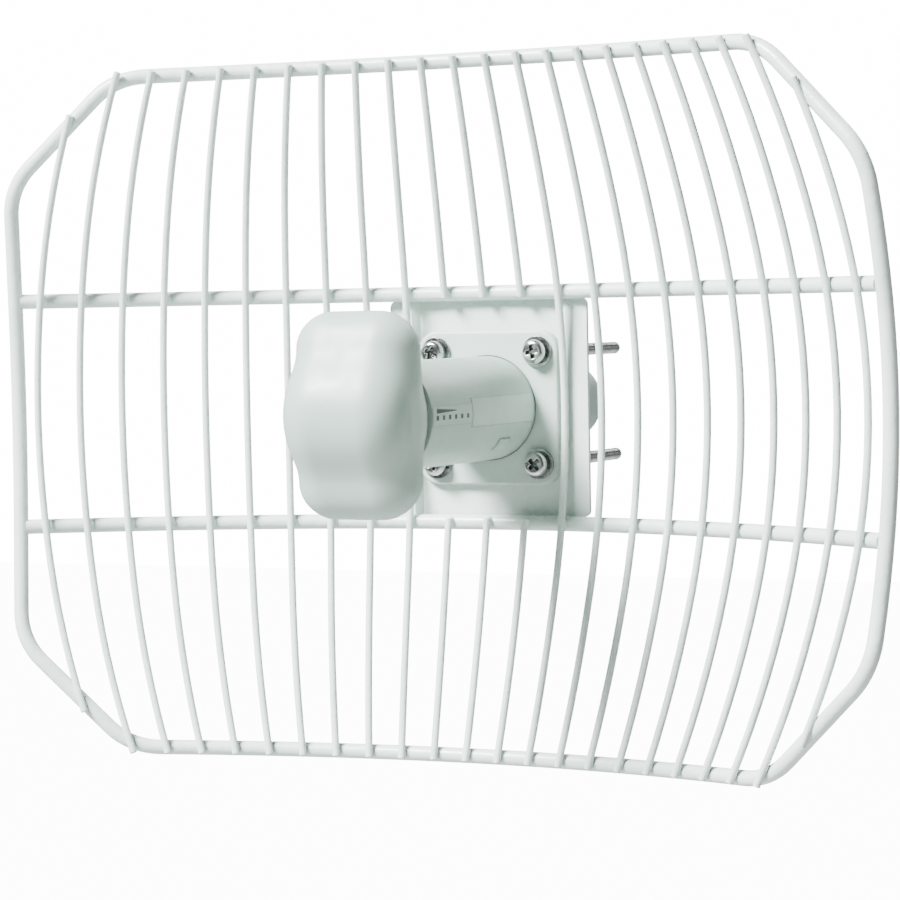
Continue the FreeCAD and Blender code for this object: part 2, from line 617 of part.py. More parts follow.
def chamfered_end(shank, place, axis):
    end = [e for e in shank.Edges
           if len(e.Vertexes) == 1 and abs(getattr(e.Vertexes[0], axis) - place) < TOUCH]
    return shank.makeChamfer(THREAD_CHAMFER, end)


def clamp_washers():
    outer, inner = M6_WASHER_DIAMETER / 2, CLAMP_BOLT_R + BOLT_FIT
    starts = [V(JAW_EAR_FACE, POLE_DEPTH + side * CLAMP_BOLT_OFFSET, 0) for side in (-1, 1)]
    return group([pipe(outer, inner, M6_WASHER_THICKNESS, start, V(-1, 0, 0)) for start in starts])


def nut(width, height, bore, start, along):
    hole = rod(bore, height + 2 * CUT_MARGIN, start - along * CUT_MARGIN, along)
    return hexagon(width, height, start, along).cut(hole)


def clamp_nuts():
    place = JAW_EAR_FACE - M6_WASHER_THICKNESS
    starts = [V(place, POLE_DEPTH + side * CLAMP_BOLT_OFFSET, 0) for side in (-1, 1)]
    bore = CLAMP_BOLT_R + BOLT_FIT
    return group([nut(M6_HEAD_WIDTH, M6_NUT_HEIGHT, bore, s, V(-1, 0, 0)) for s in starts])


def tilt_bolts():
    end = LUG_FACE - LUG_THICKNESS - M6_NUT_HEIGHT
    shapes = []
    for side in (-1, 1):
        under = V(TILT_HEAD_UNDER, POLE_DEPTH, side * TILT_BOLT_HEIGHT)
        head = hexagon(M6_HEAD_WIDTH, M6_HEAD_HEIGHT, under, V(1, 0, 0))
        shank = rod(TILT_BOLT_R, TILT_HEAD_UNDER - end, under, V(-1, 0, 0))
        shapes.append(head.fuse(chamfered_end(shank, end, "X")))
    return group(shapes)


def tilt_washers():
    outer, inner = M6_WASHER_DIAMETER / 2, TILT_BOLT_R + BOLT_FIT
    starts = [V(WING_INSIDE + SLIP_GAP, POLE_DEPTH, side * TILT_BOLT_HEIGHT) for side in (-1, 1)]
    return group([pipe(outer, inner, M6_WASHER_THICKNESS, start, V(1, 0, 0)) for start in starts])


def tilt_nuts():
    starts = [V(LUG_FACE - LUG_THICKNESS, POLE_DEPTH, side * TILT_BOLT_HEIGHT) for side in (-1, 1)]
    bore = TILT_BOLT_R + BOLT_FIT
    return group([nut(M6_HEAD_WIDTH, M6_NUT_HEIGHT, bore, s, V(-1, 0, 0)) for s in starts])


# ---- screws that hold flange, plate, collar and bracket together ----
def long_screws():
    shapes = []
    for x, z in SCREW_PLACES:
        under = V(x, HEAD_UNDER, z)
        head = rod(SCREW_HEAD_DIAMETER / 2, SCREW_HEAD_HEIGHT, under, V(0, -1, 0))
        face = HEAD_UNDER - SCREW_HEAD_HEIGHT
        top = [e for e in head.Edges if len(e.Vertexes) == 1 and abs(e.Vertexes[0].Y - face) < TOUCH]
        head = head.makeFillet(SCREW_HEAD_HEIGHT * HEAD_ROUND_SHARE, top)
        depth = SCREW_HEAD_HEIGHT * RECESS_DEPTH_SHARE
        arm = SCREW_HEAD_DIAMETER * RECESS_ARM_SHARE
        half_slot = SCREW_HEAD_DIAMETER * RECESS_SLOT_SHARE
        for wide, tall in ((arm, half_slot), (half_slot, arm)):
            recess = block(x - wide, x + wide, face - CUT_MARGIN, face + depth, z - tall, z + tall)
            head = head.cut(recess)
        shank = chamfered_end(rod(SCREW_R, SCREW_LENGTH, under, V(0, 1, 0)), HEAD_UNDER + SCREW_LENGTH, "Y")
        shapes.append(head.fuse(shank))
    return group(shapes)


def split_washers():
    shapes = []
    for x, z in SCREW_PLACES:
        ring = pipe(SPLIT_WASHER_DIAMETER / 2, SCREW_R + SCREW_FIT, SPLIT_WASHER_THICKNESS,
                    V(x, HEAD_UNDER, z), V(0, 1, 0))
        cut = block(x, x + SPLIT_WASHER_DIAMETER, HEAD_UNDER - CUT_MARGIN, WASHER_FACE + CUT_MARGIN,
                    z - SPLIT_WASHER_GAP / 2, z + SPLIT_WASHER_GAP / 2)
        cut.rotate(V(x, HEAD_UNDER, z), V(0, 1, 0), SPLIT_WASHER_GAP_ANGLE)
        shapes.append(ring.cut(cut))
    return group(shapes)


def flat_washers():
    outer, inner = FLAT_WASHER_DIAMETER / 2, SCREW_R + SCREW_FIT
    faces = (WASHER_FACE, BRACKET_BACK)
    return group([pipe(outer, inner, FLAT_WASHER_THICKNESS, V(x, face, z), V(0, 1, 0))
                  for face in faces for x, z in SCREW_PLACES])


def screw_nuts():
    place = BRACKET_BACK + FLAT_WASHER_THICKNESS
    return group([nut(M5_NUT_WIDTH, M5_NUT_HEIGHT, SCREW_R + SCREW_FIT, V(x, place, z), V(0, 1, 0))
                  for x, z in SCREW_PLACES])


# ---- feed ----
def tube_profile(radii):
    # a solid of revolution about the feed's axis from (y, radius) pairs
    points = [V(r, y, 0) for y, r in radii]
    face = Part.Face(Part.makePolygon(points + [points[0]]))
    return face.revolve(V(0, 0, 0), V(0, 1, 0), 360)


def feed_tube():
    inner, neck_inner = TUBE_R - TUBE_WALL, NECK_R - TUBE_WALL
    shoulder = TUBE_R - NECK_R
    groove = SEAL_PLACE
    body = tube_profile([
        (TUBE_FRONT, inner), (TUBE_FRONT, TUBE_R), (TUBE_REAR - shoulder, TUBE_R), (TUBE_REAR, NECK_R),
        (groove, NECK_R), (groove, NECK_R - SEAL_THICKNESS), (groove + SEAL_WIDTH, NECK_R - SEAL_THICKNESS),
        (groove + SEAL_WIDTH, NECK_R), (NECK_REAR, NECK_R), (NECK_REAR, neck_inner),
        (TUBE_REAR - TUBE_WALL, neck_inner), (TUBE_REAR - shoulder - TUBE_WALL, inner)])
    for y in lamp_places():
        body = body.cut(rod(LAMP_RADIUS + LAMP_CLEARANCE, TUBE_R, V(TUBE_R / 2, y, 0), V(1, 0, 0)))
    half_length, half_width = BUTTON_LENGTH / 2 + BUTTON_GAP, BUTTON_WIDTH / 2 + BUTTON_GAP
    window = block(TUBE_R / 2, TUBE_R * 2, BUTTON_PLACE - half_length, BUTTON_PLACE + half_length,
                   -half_width, half_width)
    return body.cut(turned_down(window))


def lamp_places():
    return [LAMP_FIRST + LAMP_SPACING * k for k in range(LAMP_COUNT)]


def turned_down(shape):
    shape.rotate(V(0, 0, 0), V(0, 1, 0), BUTTON_ANGLE)
    return shape


def release_button():
    inner = TUBE_R - TUBE_WALL
    half_length, half_width = BUTTON_LENGTH / 2, BUTTON_WIDTH / 2
    front, rear = BUTTON_PLACE - half_length, BUTTON_PLACE + half_length
    pad = block(inner - BUTTON_LIP, TUBE_R + 2 * CUT_MARGIN, front, rear, -half_width, half_width)
    crown_start = V(0, front - CUT_MARGIN, 0)
    crown = rod(TUBE_R + BUTTON_PROUD, BUTTON_LENGTH + 2 * CUT_MARGIN, crown_start, V(0, 1, 0))
    lip = block(inner - BUTTON_LIP - BUTTON_LIP_DROP, inner - BUTTON_LIP_DROP,
                front - BUTTON_LIP, rear + BUTTON_LIP, -half_width, half_width)
    return turned_down(pad.common(crown).fuse(lip).removeSplitter())


def release_spring():
    # a leaf along the inside of the tube, bent out to a foot that stands against the wall
    half_width = LEAF_WIDTH / 2
    wall_inside = math.sqrt((TUBE_R - TUBE_WALL) ** 2 - half_width ** 2)
    place = TUBE_R - TUBE_WALL - BUTTON_LIP - BUTTON_LIP_DROP - BUTTON_GAP
    end = BUTTON_PLACE - BUTTON_LENGTH + LEAF_LENGTH
    leaf = block(place - LEAF_THICKNESS, place, BUTTON_PLACE - BUTTON_LENGTH, end, -half_width, half_width)
    foot = block(place - LEAF_THICKNESS, wall_inside - LEAF_FOOT_GAP, end - LEAF_FOOT_LENGTH, end,
                 -half_width, half_width)
    return turned_down(leaf.fuse(foot).removeSplitter())


def radome_profile(inset):
    # side view: a middle lobe in front of two shallower ones, then rounded shoulders and a flat back
    half = RADOME_HEIGHT / 2 - inset
    front = RADOME_FRONT + inset
    rear = RADOME_REAR - inset
    corner = RADOME_REAR_ROUND - inset * INNER_ROUND_SHARE
    back = rear - corner
    shoulder = front + RADOME_LOBE_DEPTH
    middle_lobe = (half * LOBE_EDGE_HEIGHT, front + RADOME_LOBE_DEPTH * LOBE_EDGE_DEPTH)
    stations = [(half * SHOULDER_HEIGHT, shoulder), (half, back)]
    arcs = radome_front(front, middle_lobe, stations)
    top, bottom = RADOME_MIDDLE + half, RADOME_MIDDLE - half
    turn = corner * (1 - math.sqrt(0.5))
    top_corner = Part.Arc(V(0, back, top), V(0, rear - turn, top - turn), V(0, rear, top - corner))
    bottom_corner = Part.Arc(V(0, rear, bottom + corner), V(0, rear - turn, bottom + turn),
                             V(0, back, bottom))
    flat_back = Part.LineSegment(V(0, rear, top - corner), V(0, rear, bottom + corner))
    arcs += [curve.toShape() for curve in (top_corner, flat_back, bottom_corner)]
    return Part.Face(Part.Wire(Part.__sortEdges__(arcs)))


def radome_front(front, middle_lobe, stations):
    # one arc for the middle lobe, then tangent arcs out to each shoulder
    def place(side, station):
        return V(0, station[1], RADOME_MIDDLE + side * station[0])
    nose = Part.Arc(place(-1, middle_lobe), V(0, front, RADOME_MIDDLE), place(1, middle_lobe)).toShape()
    edges = [nose]
    for side in (-1, 1):
        at = place(side, middle_lobe)
        heading = nose.tangentAt(nose.LastParameter)
        if side < 0:
            heading = nose.tangentAt(nose.FirstParameter) * -1
        for station in stations:
            edges.append(arc_leaving(at, heading, place(side, station)))
            heading = edges[-1].tangentAt(edges[-1].LastParameter)
            at = place(side, station)
    return edges


def radome_form(inset):
    half = RADOME_WIDTH / 2 - inset
    side = radome_profile(inset)
    side.translate(V(-half, 0, 0))
    body = side.extrude(V(2 * half, 0, 0))
    tall = RADOME_HEIGHT + 2 * (RADOME_MIDDLE + CUT_MARGIN)
    plan = block(-half, half, RADOME_FRONT + inset, RADOME_REAR - inset, -tall / 2, tall / 2)
    uprights = [e for e in plan.Edges if abs(e.Vertexes[0].Z - e.Vertexes[1].Z) > tall / 2]
    return body.common(plan.makeFillet(RADOME_ROUND - inset * INNER_ROUND_SHARE, uprights))


def radome():
    body = radome_form(0).cut(radome_form(RADOME_WALL))
    return body.cut(radome_opening(0, RADOME_REAR - RADOME_WALL - CUT_MARGIN, RADOME_REAR + CUT_MARGIN))


def radome_opening(inset, y0, y1):
    width = RADOME_WIDTH - 2 * RADOME_ROUND - 2 * inset
    height = RADOME_HEIGHT - 2 * RADOME_ROUND - 2 * inset
    return upright_block(width, height, y0, y1, RADOME_OPENING_ROUND, RADOME_MIDDLE)


def radome_base():
    # closes the radome from behind and plugs into the tube
    inner_face, end = RADOME_REAR - RADOME_WALL, TUBE_FRONT + SPIGOT_LENGTH
    plug = radome_opening(SPIGOT_CLEARANCE, inner_face, RADOME_REAR)
    spigot_r = TUBE_R - TUBE_WALL - SPIGOT_CLEARANCE
    wide = RADOME_WIDTH / 2 - RADOME_WALL
    groove = TUBE_FRONT + SPIGOT_LENGTH / 2
    skirt = tube_profile([
        (RADOME_REAR, 0), (RADOME_REAR, wide), (TUBE_FRONT, TUBE_R), (TUBE_FRONT, spigot_r),
        (groove, spigot_r), (groove, spigot_r - SEAL_THICKNESS),
        (groove + SEAL_WIDTH, spigot_r - SEAL_THICKNESS), (groove + SEAL_WIDTH, spigot_r),
        (end, spigot_r), (end, 0)])
    return bored(plug.fuse(skirt), spigot_r - SPIGOT_WALL, inner_face, end).removeSplitter()


def seal_ring(outer, place):
    return pipe(outer, outer - SEAL_THICKNESS, SEAL_WIDTH, V(0, place, 0), V(0, 1, 0))


def radome_seal():
    return seal_ring(TUBE_R - TUBE_WALL - SPIGOT_CLEARANCE, TUBE_FRONT + SPIGOT_LENGTH / 2)


def cover_seal():
    return seal_ring(NECK_R, SEAL_PLACE)


def radio_board():
    shoulder = TUBE_REAR - TUBE_WALL - (TUBE_R - NECK_R) - BOARD_SHOULDER_GAP
    wide = block(BOARD_PLACE, BOARD_OUTER_FACE, BOARD_FRONT, shoulder, -BOARD_HALF_WIDTH, BOARD_HALF_WIDTH)
    tail = block(BOARD_PLACE, BOARD_OUTER_FACE, BOARD_FRONT, BOARD_REAR,
                 -BOARD_TAIL_HALF_WIDTH, BOARD_TAIL_HALF_WIDTH)
    return wide.fuse(tail).removeSplitter()


def shield_can():
    low = BOARD_PLACE - SHIELD_HEIGHT
    outer = block(low, BOARD_PLACE, SHIELD_FRONT, SHIELD_REAR, -SHIELD_HALF_WIDTH, SHIELD_HALF_WIDTH)
    wall = SHIELD_WALL
    hollow = block(low + wall, BOARD_PLACE + CUT_MARGIN, SHIELD_FRONT + wall, SHIELD_REAR - wall,
                   -SHIELD_HALF_WIDTH + wall, SHIELD_HALF_WIDTH - wall)
    return outer.cut(hollow)


def network_jack():
    rear = JACK_REAR
    top = BOARD_PLACE
    low = top - JACK_HEIGHT
    half = JACK_WIDTH / 2
    inside = rear - JACK_LENGTH * PORT_DEPTH_SHARE
    half_key = PORT_KEY_WIDTH / 2
    body = block(low, top, rear - JACK_LENGTH, rear, -half, half)
    port = block(low + PORT_WALL, top - PORT_CONTACT_WALL, inside, rear + CUT_MARGIN,
                 -half + PORT_WALL, half - PORT_WALL)
    key = block(low - CUT_MARGIN, low + PORT_WALL + CUT_MARGIN, inside, rear + CUT_MARGIN,
                -half_key, half_key)
    return body.cut(port).cut(key)


def dipole():
    half = DIPOLE_THICKNESS / 2
    cross = block(-half, half, DIPOLE_FRONT, DIPOLE_BACK,
                  RADOME_MIDDLE - DIPOLE_HALF_LENGTH, RADOME_MIDDLE + DIPOLE_HALF_LENGTH)
    half_stem = DIPOLE_STEM_WIDTH / 2
    stem = block(-half, half, DIPOLE_BACK - CUT_MARGIN, BOARD_FRONT + DIPOLE_STEM_WIDTH,
                 RADOME_MIDDLE - half_stem, RADOME_MIDDLE + half_stem)
    return cross.fuse(stem).removeSplitter()


def balun_link():
    # a short stiff lead from the board across to the dipole's stem
    start = BOARD_FRONT + BALUN_LINK_SETBACK
    return block(DIPOLE_THICKNESS / 2, BOARD_PLACE, start, start + BALUN_LINK_WIDTH,
                 -BALUN_LINK_WIDTH, BALUN_LINK_WIDTH)


def reflector_strip():
    half, reach = REFLECTOR_STRIP_HALF_WIDTH, REFLECTOR_STRIP_HALF_LENGTH
    return block(-half, half, REFLECTOR_STRIP_PLACE, REFLECTOR_STRIP_PLACE + DIPOLE_THICKNESS,
                 RADOME_MIDDLE - reach, RADOME_MIDDLE + reach)


def light_guide():
    face = BOARD_OUTER_FACE
    first, last = lamp_places()[0], lamp_places()[-1]
    half = LIGHT_BAR_HALF_WIDTH
    bar = block(face, face + LIGHT_BAR_DEPTH, first - LIGHT_BAR_LEAD, last + half, -half, half)
    for y in lamp_places():
        bar = bar.fuse(rod(LAMP_RADIUS, TUBE_R - face - SLIP_GAP, V(face, y, 0), V(1, 0, 0)))
    return bar.removeSplitter()


def curved_label(ends, angles):
    y0, y1 = ends
    film = pipe(TUBE_R + LABEL_THICKNESS, TUBE_R, y1 - y0, V(0, y0, 0), V(0, 1, 0))
    reach = 3 * TUBE_R
    corners = [V(reach * math.cos(math.radians(a)), y0, reach * math.sin(math.radians(a))) for a in angles]
    apex = V(0, y0, 0)
    wedge = Part.Face(Part.makePolygon([apex] + corners + [apex])).extrude(V(0, y1 - y0, 0))
    return film.common(wedge)


def reset_switch():
    face = BOARD_OUTER_FACE
    half = RESET_SIZE / 2
    body = block(face, face + SWITCH_HEIGHT, RESET_REAR - RESET_SIZE, RESET_REAR, -half, half)
    bottom = V(face + SWITCH_HEIGHT / 2, RESET_REAR - RESET_WELL, 0)
    return body.cut(rod(RESET_PIN_R + BOLT_FIT, RESET_WELL + CUT_MARGIN, bottom, V(0, 1, 0)))


def reset_button():
    start = V(BOARD_OUTER_FACE + SWITCH_HEIGHT / 2, RESET_REAR - RESET_WELL + SLIP_GAP + RESET_TRAVEL, 0)
    return rod(RESET_PIN_R, RESET_PIN_LENGTH, start, V(0, 1, 0))


def rear_cover():
    inner = NECK_R + COVER_FIT
    outer = inner + COVER_WALL
    body = rod(outer, COVER_REAR - COVER_FRONT, V(0, COVER_FRONT, 0), V(0, 1, 0))
    body = body.makeChamfer(COVER_CHAMFER, [e for e in body.Edges if all(
        abs(v.Y - COVER_REAR) < TOUCH for v in e.Vertexes) and len(e.Vertexes) == 1])
    depth = COVER_REAR - COVER_END_THICKNESS - COVER_FRONT
    body = body.cut(rod(inner, depth + CUT_MARGIN, V(0, COVER_FRONT - CUT_MARGIN, 0), V(0, 1, 0)))
    return body.cut(rod(GROMMET_R, NECK_R, V(0, GROMMET_PLACE, -NECK_R / 2), V(0, 0, -1)))


def cable_grommet():
    inner_end = V(0, GROMMET_PLACE, GROMMET_INSIDE - (NECK_R + COVER_FIT + COVER_WALL))
    return pipe(GROMMET_R - SPIGOT_CLEARANCE, CABLE_DIAMETER / 2, GROMMET_LENGTH, inner_end, V(0, 0, -1))


PIECES = {
    "frame_ring": frame_ring,
    "upper_cross_rod": lambda: cross_rod(CROSS_ROD_HEIGHT),
    "lower_cross_rod": lambda: cross_rod(-CROSS_ROD_HEIGHT),
    "centre_plate": centre_plate,
    "plate_welds": plate_welds,
    "mounting_flange": mounting_flange,
    "rear_collar": rear_collar,
    "tilt_bracket": tilt_bracket,
    "long_screws": long_screws,
    "split_washers": split_washers,
    "flat_washers": flat_washers,
    "screw_nuts": screw_nuts,
    "clamp_base": clamp_base,
    "clamp_jaw": clamp_jaw,
    "clamp_bolts": clamp_bolts,
    "clamp_washers": clamp_washers,
    "clamp_nuts": clamp_nuts,
    "tilt_bolts": tilt_bolts,
    "tilt_washers": tilt_washers,
    "tilt_nuts": tilt_nuts,
    "feed_tube": feed_tube,
    "radome": radome,
    "radome_base": radome_base,
    "radome_seal": radome_seal,
    "radio_board": radio_board,
    "shield_can": shield_can,
    "network_jack": network_jack,
    "dipole": dipole,
    "balun_link": balun_link,
    "reflector_strip": reflector_strip,
    "light_guide": light_guide,
    "lamp_label": lambda: curved_label(LAMP_LABEL_ENDS, LAMP_LABEL_ANGLES),
    "blank_label": lambda: curved_label(BLANK_LABEL_ENDS, BLANK_LABEL_ANGLES),
    "release_button": release_button,
    "release_spring": release_spring,
    "reset_switch": reset_switch,
    "reset_button": reset_button,
    "rear_cover": rear_cover,
    "cover_seal": cover_seal,
    "cable_grommet": cable_grommet,
}


def main():
    os.makedirs("parts", exist_ok=True)
    for name, make in PIECES.items():
        save(name, make())
    for number in range(CUT_WIRES_EACH_SIDE + 1, WIRES_EACH_SIDE + 1):
        save("grid_wires_%02d" % number, group([whole_wire(-number), whole_wire(number)]))
    cut_numbers = range(-CUT_WIRES_EACH_SIDE, CUT_WIRES_EACH_SIDE + 1)
    save("upper_short_wires", group([cut_wire(number, 1) for number in cut_numbers]))
    save("lower_short_wires", group([cut_wire(number, -1) for number in cut_numbers]))


main()
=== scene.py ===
import json
import math

import bpy
import numpy as np
from mathutils import Matrix, Vector


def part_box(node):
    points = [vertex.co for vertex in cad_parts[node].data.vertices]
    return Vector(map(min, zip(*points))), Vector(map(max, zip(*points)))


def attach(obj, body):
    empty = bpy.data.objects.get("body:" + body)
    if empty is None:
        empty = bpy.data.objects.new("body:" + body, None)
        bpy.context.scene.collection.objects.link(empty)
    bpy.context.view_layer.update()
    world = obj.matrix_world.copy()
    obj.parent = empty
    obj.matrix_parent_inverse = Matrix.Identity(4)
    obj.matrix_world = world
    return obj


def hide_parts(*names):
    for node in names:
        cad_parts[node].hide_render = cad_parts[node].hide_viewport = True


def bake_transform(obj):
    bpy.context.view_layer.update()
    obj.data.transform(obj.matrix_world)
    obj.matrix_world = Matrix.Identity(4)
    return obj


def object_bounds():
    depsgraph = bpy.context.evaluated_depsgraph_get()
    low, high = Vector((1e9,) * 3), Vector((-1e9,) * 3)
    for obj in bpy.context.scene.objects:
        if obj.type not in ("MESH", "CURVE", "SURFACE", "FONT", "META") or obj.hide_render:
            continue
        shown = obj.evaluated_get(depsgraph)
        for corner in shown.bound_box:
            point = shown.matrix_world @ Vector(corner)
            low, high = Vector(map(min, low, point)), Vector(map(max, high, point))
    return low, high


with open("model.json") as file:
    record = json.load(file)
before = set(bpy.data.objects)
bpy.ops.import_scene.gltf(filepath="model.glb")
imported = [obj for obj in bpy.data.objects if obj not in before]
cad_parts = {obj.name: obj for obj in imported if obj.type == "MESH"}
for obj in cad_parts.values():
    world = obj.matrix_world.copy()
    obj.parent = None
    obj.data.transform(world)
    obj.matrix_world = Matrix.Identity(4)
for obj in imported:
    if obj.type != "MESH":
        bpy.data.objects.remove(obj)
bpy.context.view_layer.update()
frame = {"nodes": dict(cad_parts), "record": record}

mm = 0.001
nodes = frame["nodes"]
bodyOf = {node: body for body, members in frame["record"]["behaviour"]["bodies"].items() for node in members}
slotOf = {entry["node"]: entry["material_slot"] for entry in frame["record"]["subparts"]}
print("frame loaded:", len(nodes), "pieces")


def corners(node):
    low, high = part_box(node)
    return Vector(low) / mm, Vector(high) / mm


tubeLow, tubeHigh = corners("feed_tube")
axisX = (tubeLow.x + tubeHigh.x) / 2      # the feed's axis runs along Y through here
axisZ = (tubeLow.z + tubeHigh.z) / 2
tubeRadius = (tubeHigh.z - tubeLow.z) / 2


def addObject(name, points, faces, material, smooth):
    mesh = bpy.data.meshes.new(name)
    mesh.from_pydata([(x * mm, y * mm, z * mm) for x, y, z in points], [], faces)
    mesh.update()
    if smooth:
        mesh.shade_smooth()
    piece = bpy.data.objects.new(name, mesh)
    bpy.context.scene.collection.objects.link(piece)
    mesh.materials.append(material)
    return piece


def addPiece(name, points, faces, body, material, smooth=True):
    piece = addObject(name, points, faces, material, smooth)
    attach(piece, body)
    return piece


def gridFaces(rows, columns, closed=True, offset=0):
    # quads between neighbouring rows of points; closed joins the last column to the first
    faces = []
    last = columns if closed else columns - 1
    for row in range(rows - 1):
        for column in range(last):
            after = (column + 1) % columns
            here, above = offset + row * columns, offset + (row + 1) * columns
            faces.append((here + column, here + after, above + after, above + column))
    return faces


def joinMeshes(parts):
    points, faces = [], []
    for partPoints, partFaces in parts:
        shift = len(points)
        points += [tuple(p) for p in partPoints]
        faces += [tuple(index + shift for index in face) for face in partFaces]
    return points, faces


# two of these entries set the ambient occlusion band and samples for the painted shade in corners
finishLook = {"cornerShadeBand": (0.25, 0.85), "mottleBand": (0.35, 0.7), "roughBand": (0.3, 0.7),
              "bevelSamples": 4, "cornerShadeSamples": 6, "fine": 0.0002, "coarse": 0.0003}


class Finish:
    # one node material: colour with a soft mottle, roughness that wanders, and a fine bump
    def __init__(self, name):
        self.material = bpy.data.materials.new(name)
        self.material.use_nodes = True
        self.tree = self.material.node_tree
        self.tree.nodes.clear()
        self.shader = self.add("ShaderNodeBsdfPrincipled")
        output = self.add("ShaderNodeOutputMaterial")
        self.join(self.shader.outputs["BSDF"], output.inputs["Surface"])
        self.place = self.add("ShaderNodeTexCoord").outputs["Object"]

    def add(self, kind, **settings):
        node = self.tree.nodes.new(kind)
        for key, value in settings.items():
            setattr(node, key, value)
        return node

    def join(self, start, end):
        self.tree.links.new(start, end)

    def noise(self, scale, detail=4.0, roughness=0.55):
        node = self.add("ShaderNodeTexNoise")
        node.inputs["Scale"].default_value = scale
        node.inputs["Detail"].default_value = detail
        node.inputs["Roughness"].default_value = roughness
        self.join(self.place, node.inputs["Vector"])
        return node.outputs["Fac"]

    def ramp(self, source, low, high, first, second):
        node = self.add("ShaderNodeMapRange")
        node.clamp = True
        node.inputs["From Min"].default_value = low
        node.inputs["From Max"].default_value = high
        node.inputs["To Min"].default_value = first
        node.inputs["To Max"].default_value = second
        self.join(source, node.inputs["Value"])
        return node.outputs["Result"]

    def mix(self, factor, first, second):
        node = self.add("ShaderNodeMix")
        node.data_type = "RGBA"
        self.join(factor, node.inputs[0])
        for socket, value in ((node.inputs[6], first), (node.inputs[7], second)):
            if isinstance(value, tuple):
                socket.default_value = (*value, 1.0)
            else:
                self.join(value, socket)
        return node.outputs[2]

    def bump(self, height, strength, distance, below=None):
        node = self.add("ShaderNodeBump")
        node.inputs["Strength"].default_value = strength
        node.inputs["Distance"].default_value = distance
        self.join(height, node.inputs["Height"])
        if below is not None:
            self.join(below, node.inputs["Normal"])
        return node.outputs["Normal"]

    def roundEdges(self, radius):
        node = self.add("ShaderNodeBevel")
        node.samples = finishLook["bevelSamples"]
        node.inputs["Radius"].default_value = radius
        return node.outputs["Normal"]

    def paintCornerShade(self, colour, shade, reach, share):
        # paints shade into corners where two surfaces meet: ambient occlusion darkens the colour towards the
        # given shade colour
        node = self.add("ShaderNodeAmbientOcclusion")
        node.samples = finishLook["cornerShadeSamples"]
        node.inputs["Distance"].default_value = reach
        shadedCorners = self.ramp(node.outputs["AO"], *finishLook["cornerShadeBand"], share, 0.0)
        return self.mix(shadedCorners, colour, shade)

    def mottle(self, scale, light, shade):
        patches = self.ramp(self.noise(scale), *finishLook["mottleBand"], 0.0, 1.0)
        return self.mix(patches, light, shade)

    def colour(self, source):
        self.join(source, self.shader.inputs["Base Color"])

    def roughness(self, source, lowest, highest, band=finishLook["roughBand"]):
        spread = self.ramp(source, *band, lowest, highest)
        self.join(spread, self.shader.inputs["Roughness"])

    def surface(self, normal):
        self.join(normal, self.shader.inputs["Normal"])


# the third, darker colour with its reach and share is painted shade for corners and creases
coatLook = {"light": (0.68, 0.785, 0.74), "shade": (0.59, 0.70, 0.655), "cornerShade": (0.42, 0.47, 0.45),
            "roughness": 0.34, "smoother": 0.06, "rougher": 0.1, "mottle": 38.0, "edge": 0.0005,
            "cornerShadeReach": 0.006, "cornerShadeShare": 0.55, "runs": 260.0, "runStrength": 0.35, "runHeight": 0.0006,
            "peel": 900.0, "peelStrength": 0.12, "clearWeight": 0.25, "clearRoughness": 0.25}


def coatFinish():
    look = coatLook
    finish = Finish("whiteCoat")
    body = finish.mottle(look["mottle"], look["light"], look["shade"])
    # painted shade: the coat darkens in corners and creases by ambient occlusion
    finish.colour(finish.paintCornerShade(body, look["cornerShade"], look["cornerShadeReach"], look["cornerShadeShare"]))
    level = look["roughness"]
    finish.roughness(finish.noise(look["mottle"] * 3), level - look["smoother"], level + look["rougher"])
    edge = finish.roundEdges(look["edge"])
    runs = finish.bump(finish.noise(look["runs"], 2.0), look["runStrength"], look["runHeight"], edge)
    peel = finish.noise(look["peel"], 2.0)
    finish.surface(finish.bump(peel, look["peelStrength"], finishLook["coarse"], runs))
    finish.shader.inputs["Coat Weight"].default_value = look["clearWeight"]
    finish.shader.inputs["Coat Roughness"].default_value = look["clearRoughness"]
    return finish.material


# the third, darker colour with its reach and share is painted shade for corners and creases
plasticLook = {"light": (0.385, 0.49, 0.445), "shade": (0.345, 0.45, 0.405), "cornerShade": (0.30, 0.34, 0.32),
               "roughness": 0.42, "smoother": 0.05, "rougher": 0.07, "patches": 140.0, "mottle": 24.0,
               "cornerShadeReach": 0.005, "cornerShadeShare": 0.5, "grain": 2600.0, "grainStrength": 0.10, "edge": 0.0006,
               "softness": 0.04, "softReach": 0.002}


def plasticFinish(name, lift=0.0, roughness=0.0):
    look = plasticLook
    finish = Finish(name)
    light = tuple(channel + lift for channel in look["light"])
    shade = tuple(channel + lift for channel in look["shade"])
    body = finish.mottle(look["mottle"], light, shade)
    # painted shade: the plastic darkens in corners and creases by ambient occlusion
    finish.colour(finish.paintCornerShade(body, look["cornerShade"], look["cornerShadeReach"], look["cornerShadeShare"]))
    level = look["roughness"] + roughness
    finish.roughness(finish.noise(look["patches"]), level - look["smoother"], level + look["rougher"])
    edge = finish.roundEdges(look["edge"])
    grain = finish.noise(look["grain"], 3.0)
    finish.surface(finish.bump(grain, look["grainStrength"], finishLook["fine"], edge))
    finish.shader.inputs["Subsurface Weight"].default_value = look["softness"]
    finish.shader.inputs["Subsurface Radius"].default_value = (look["softReach"],) * 3
    return finish.material


# the third, near-black colour with its reach and share is painted shade for crevices
zincLook = {"bright": (0.60, 0.62, 0.61), "dull": (0.32, 0.34, 0.335), "creviceShade": (0.045, 0.05, 0.05),
            "roughness": 0.15, "smoother": 0.05, "rougher": 0.15, "roughBand": (0.3, 0.75),
            "spots": 420.0, "spotBand": (0.4, 0.75), "creviceShadeReach": 0.0028, "creviceShadeShare": 0.92,
            "grain": 1500.0, "grainStrength": 0.08, "edge": 0.0003}


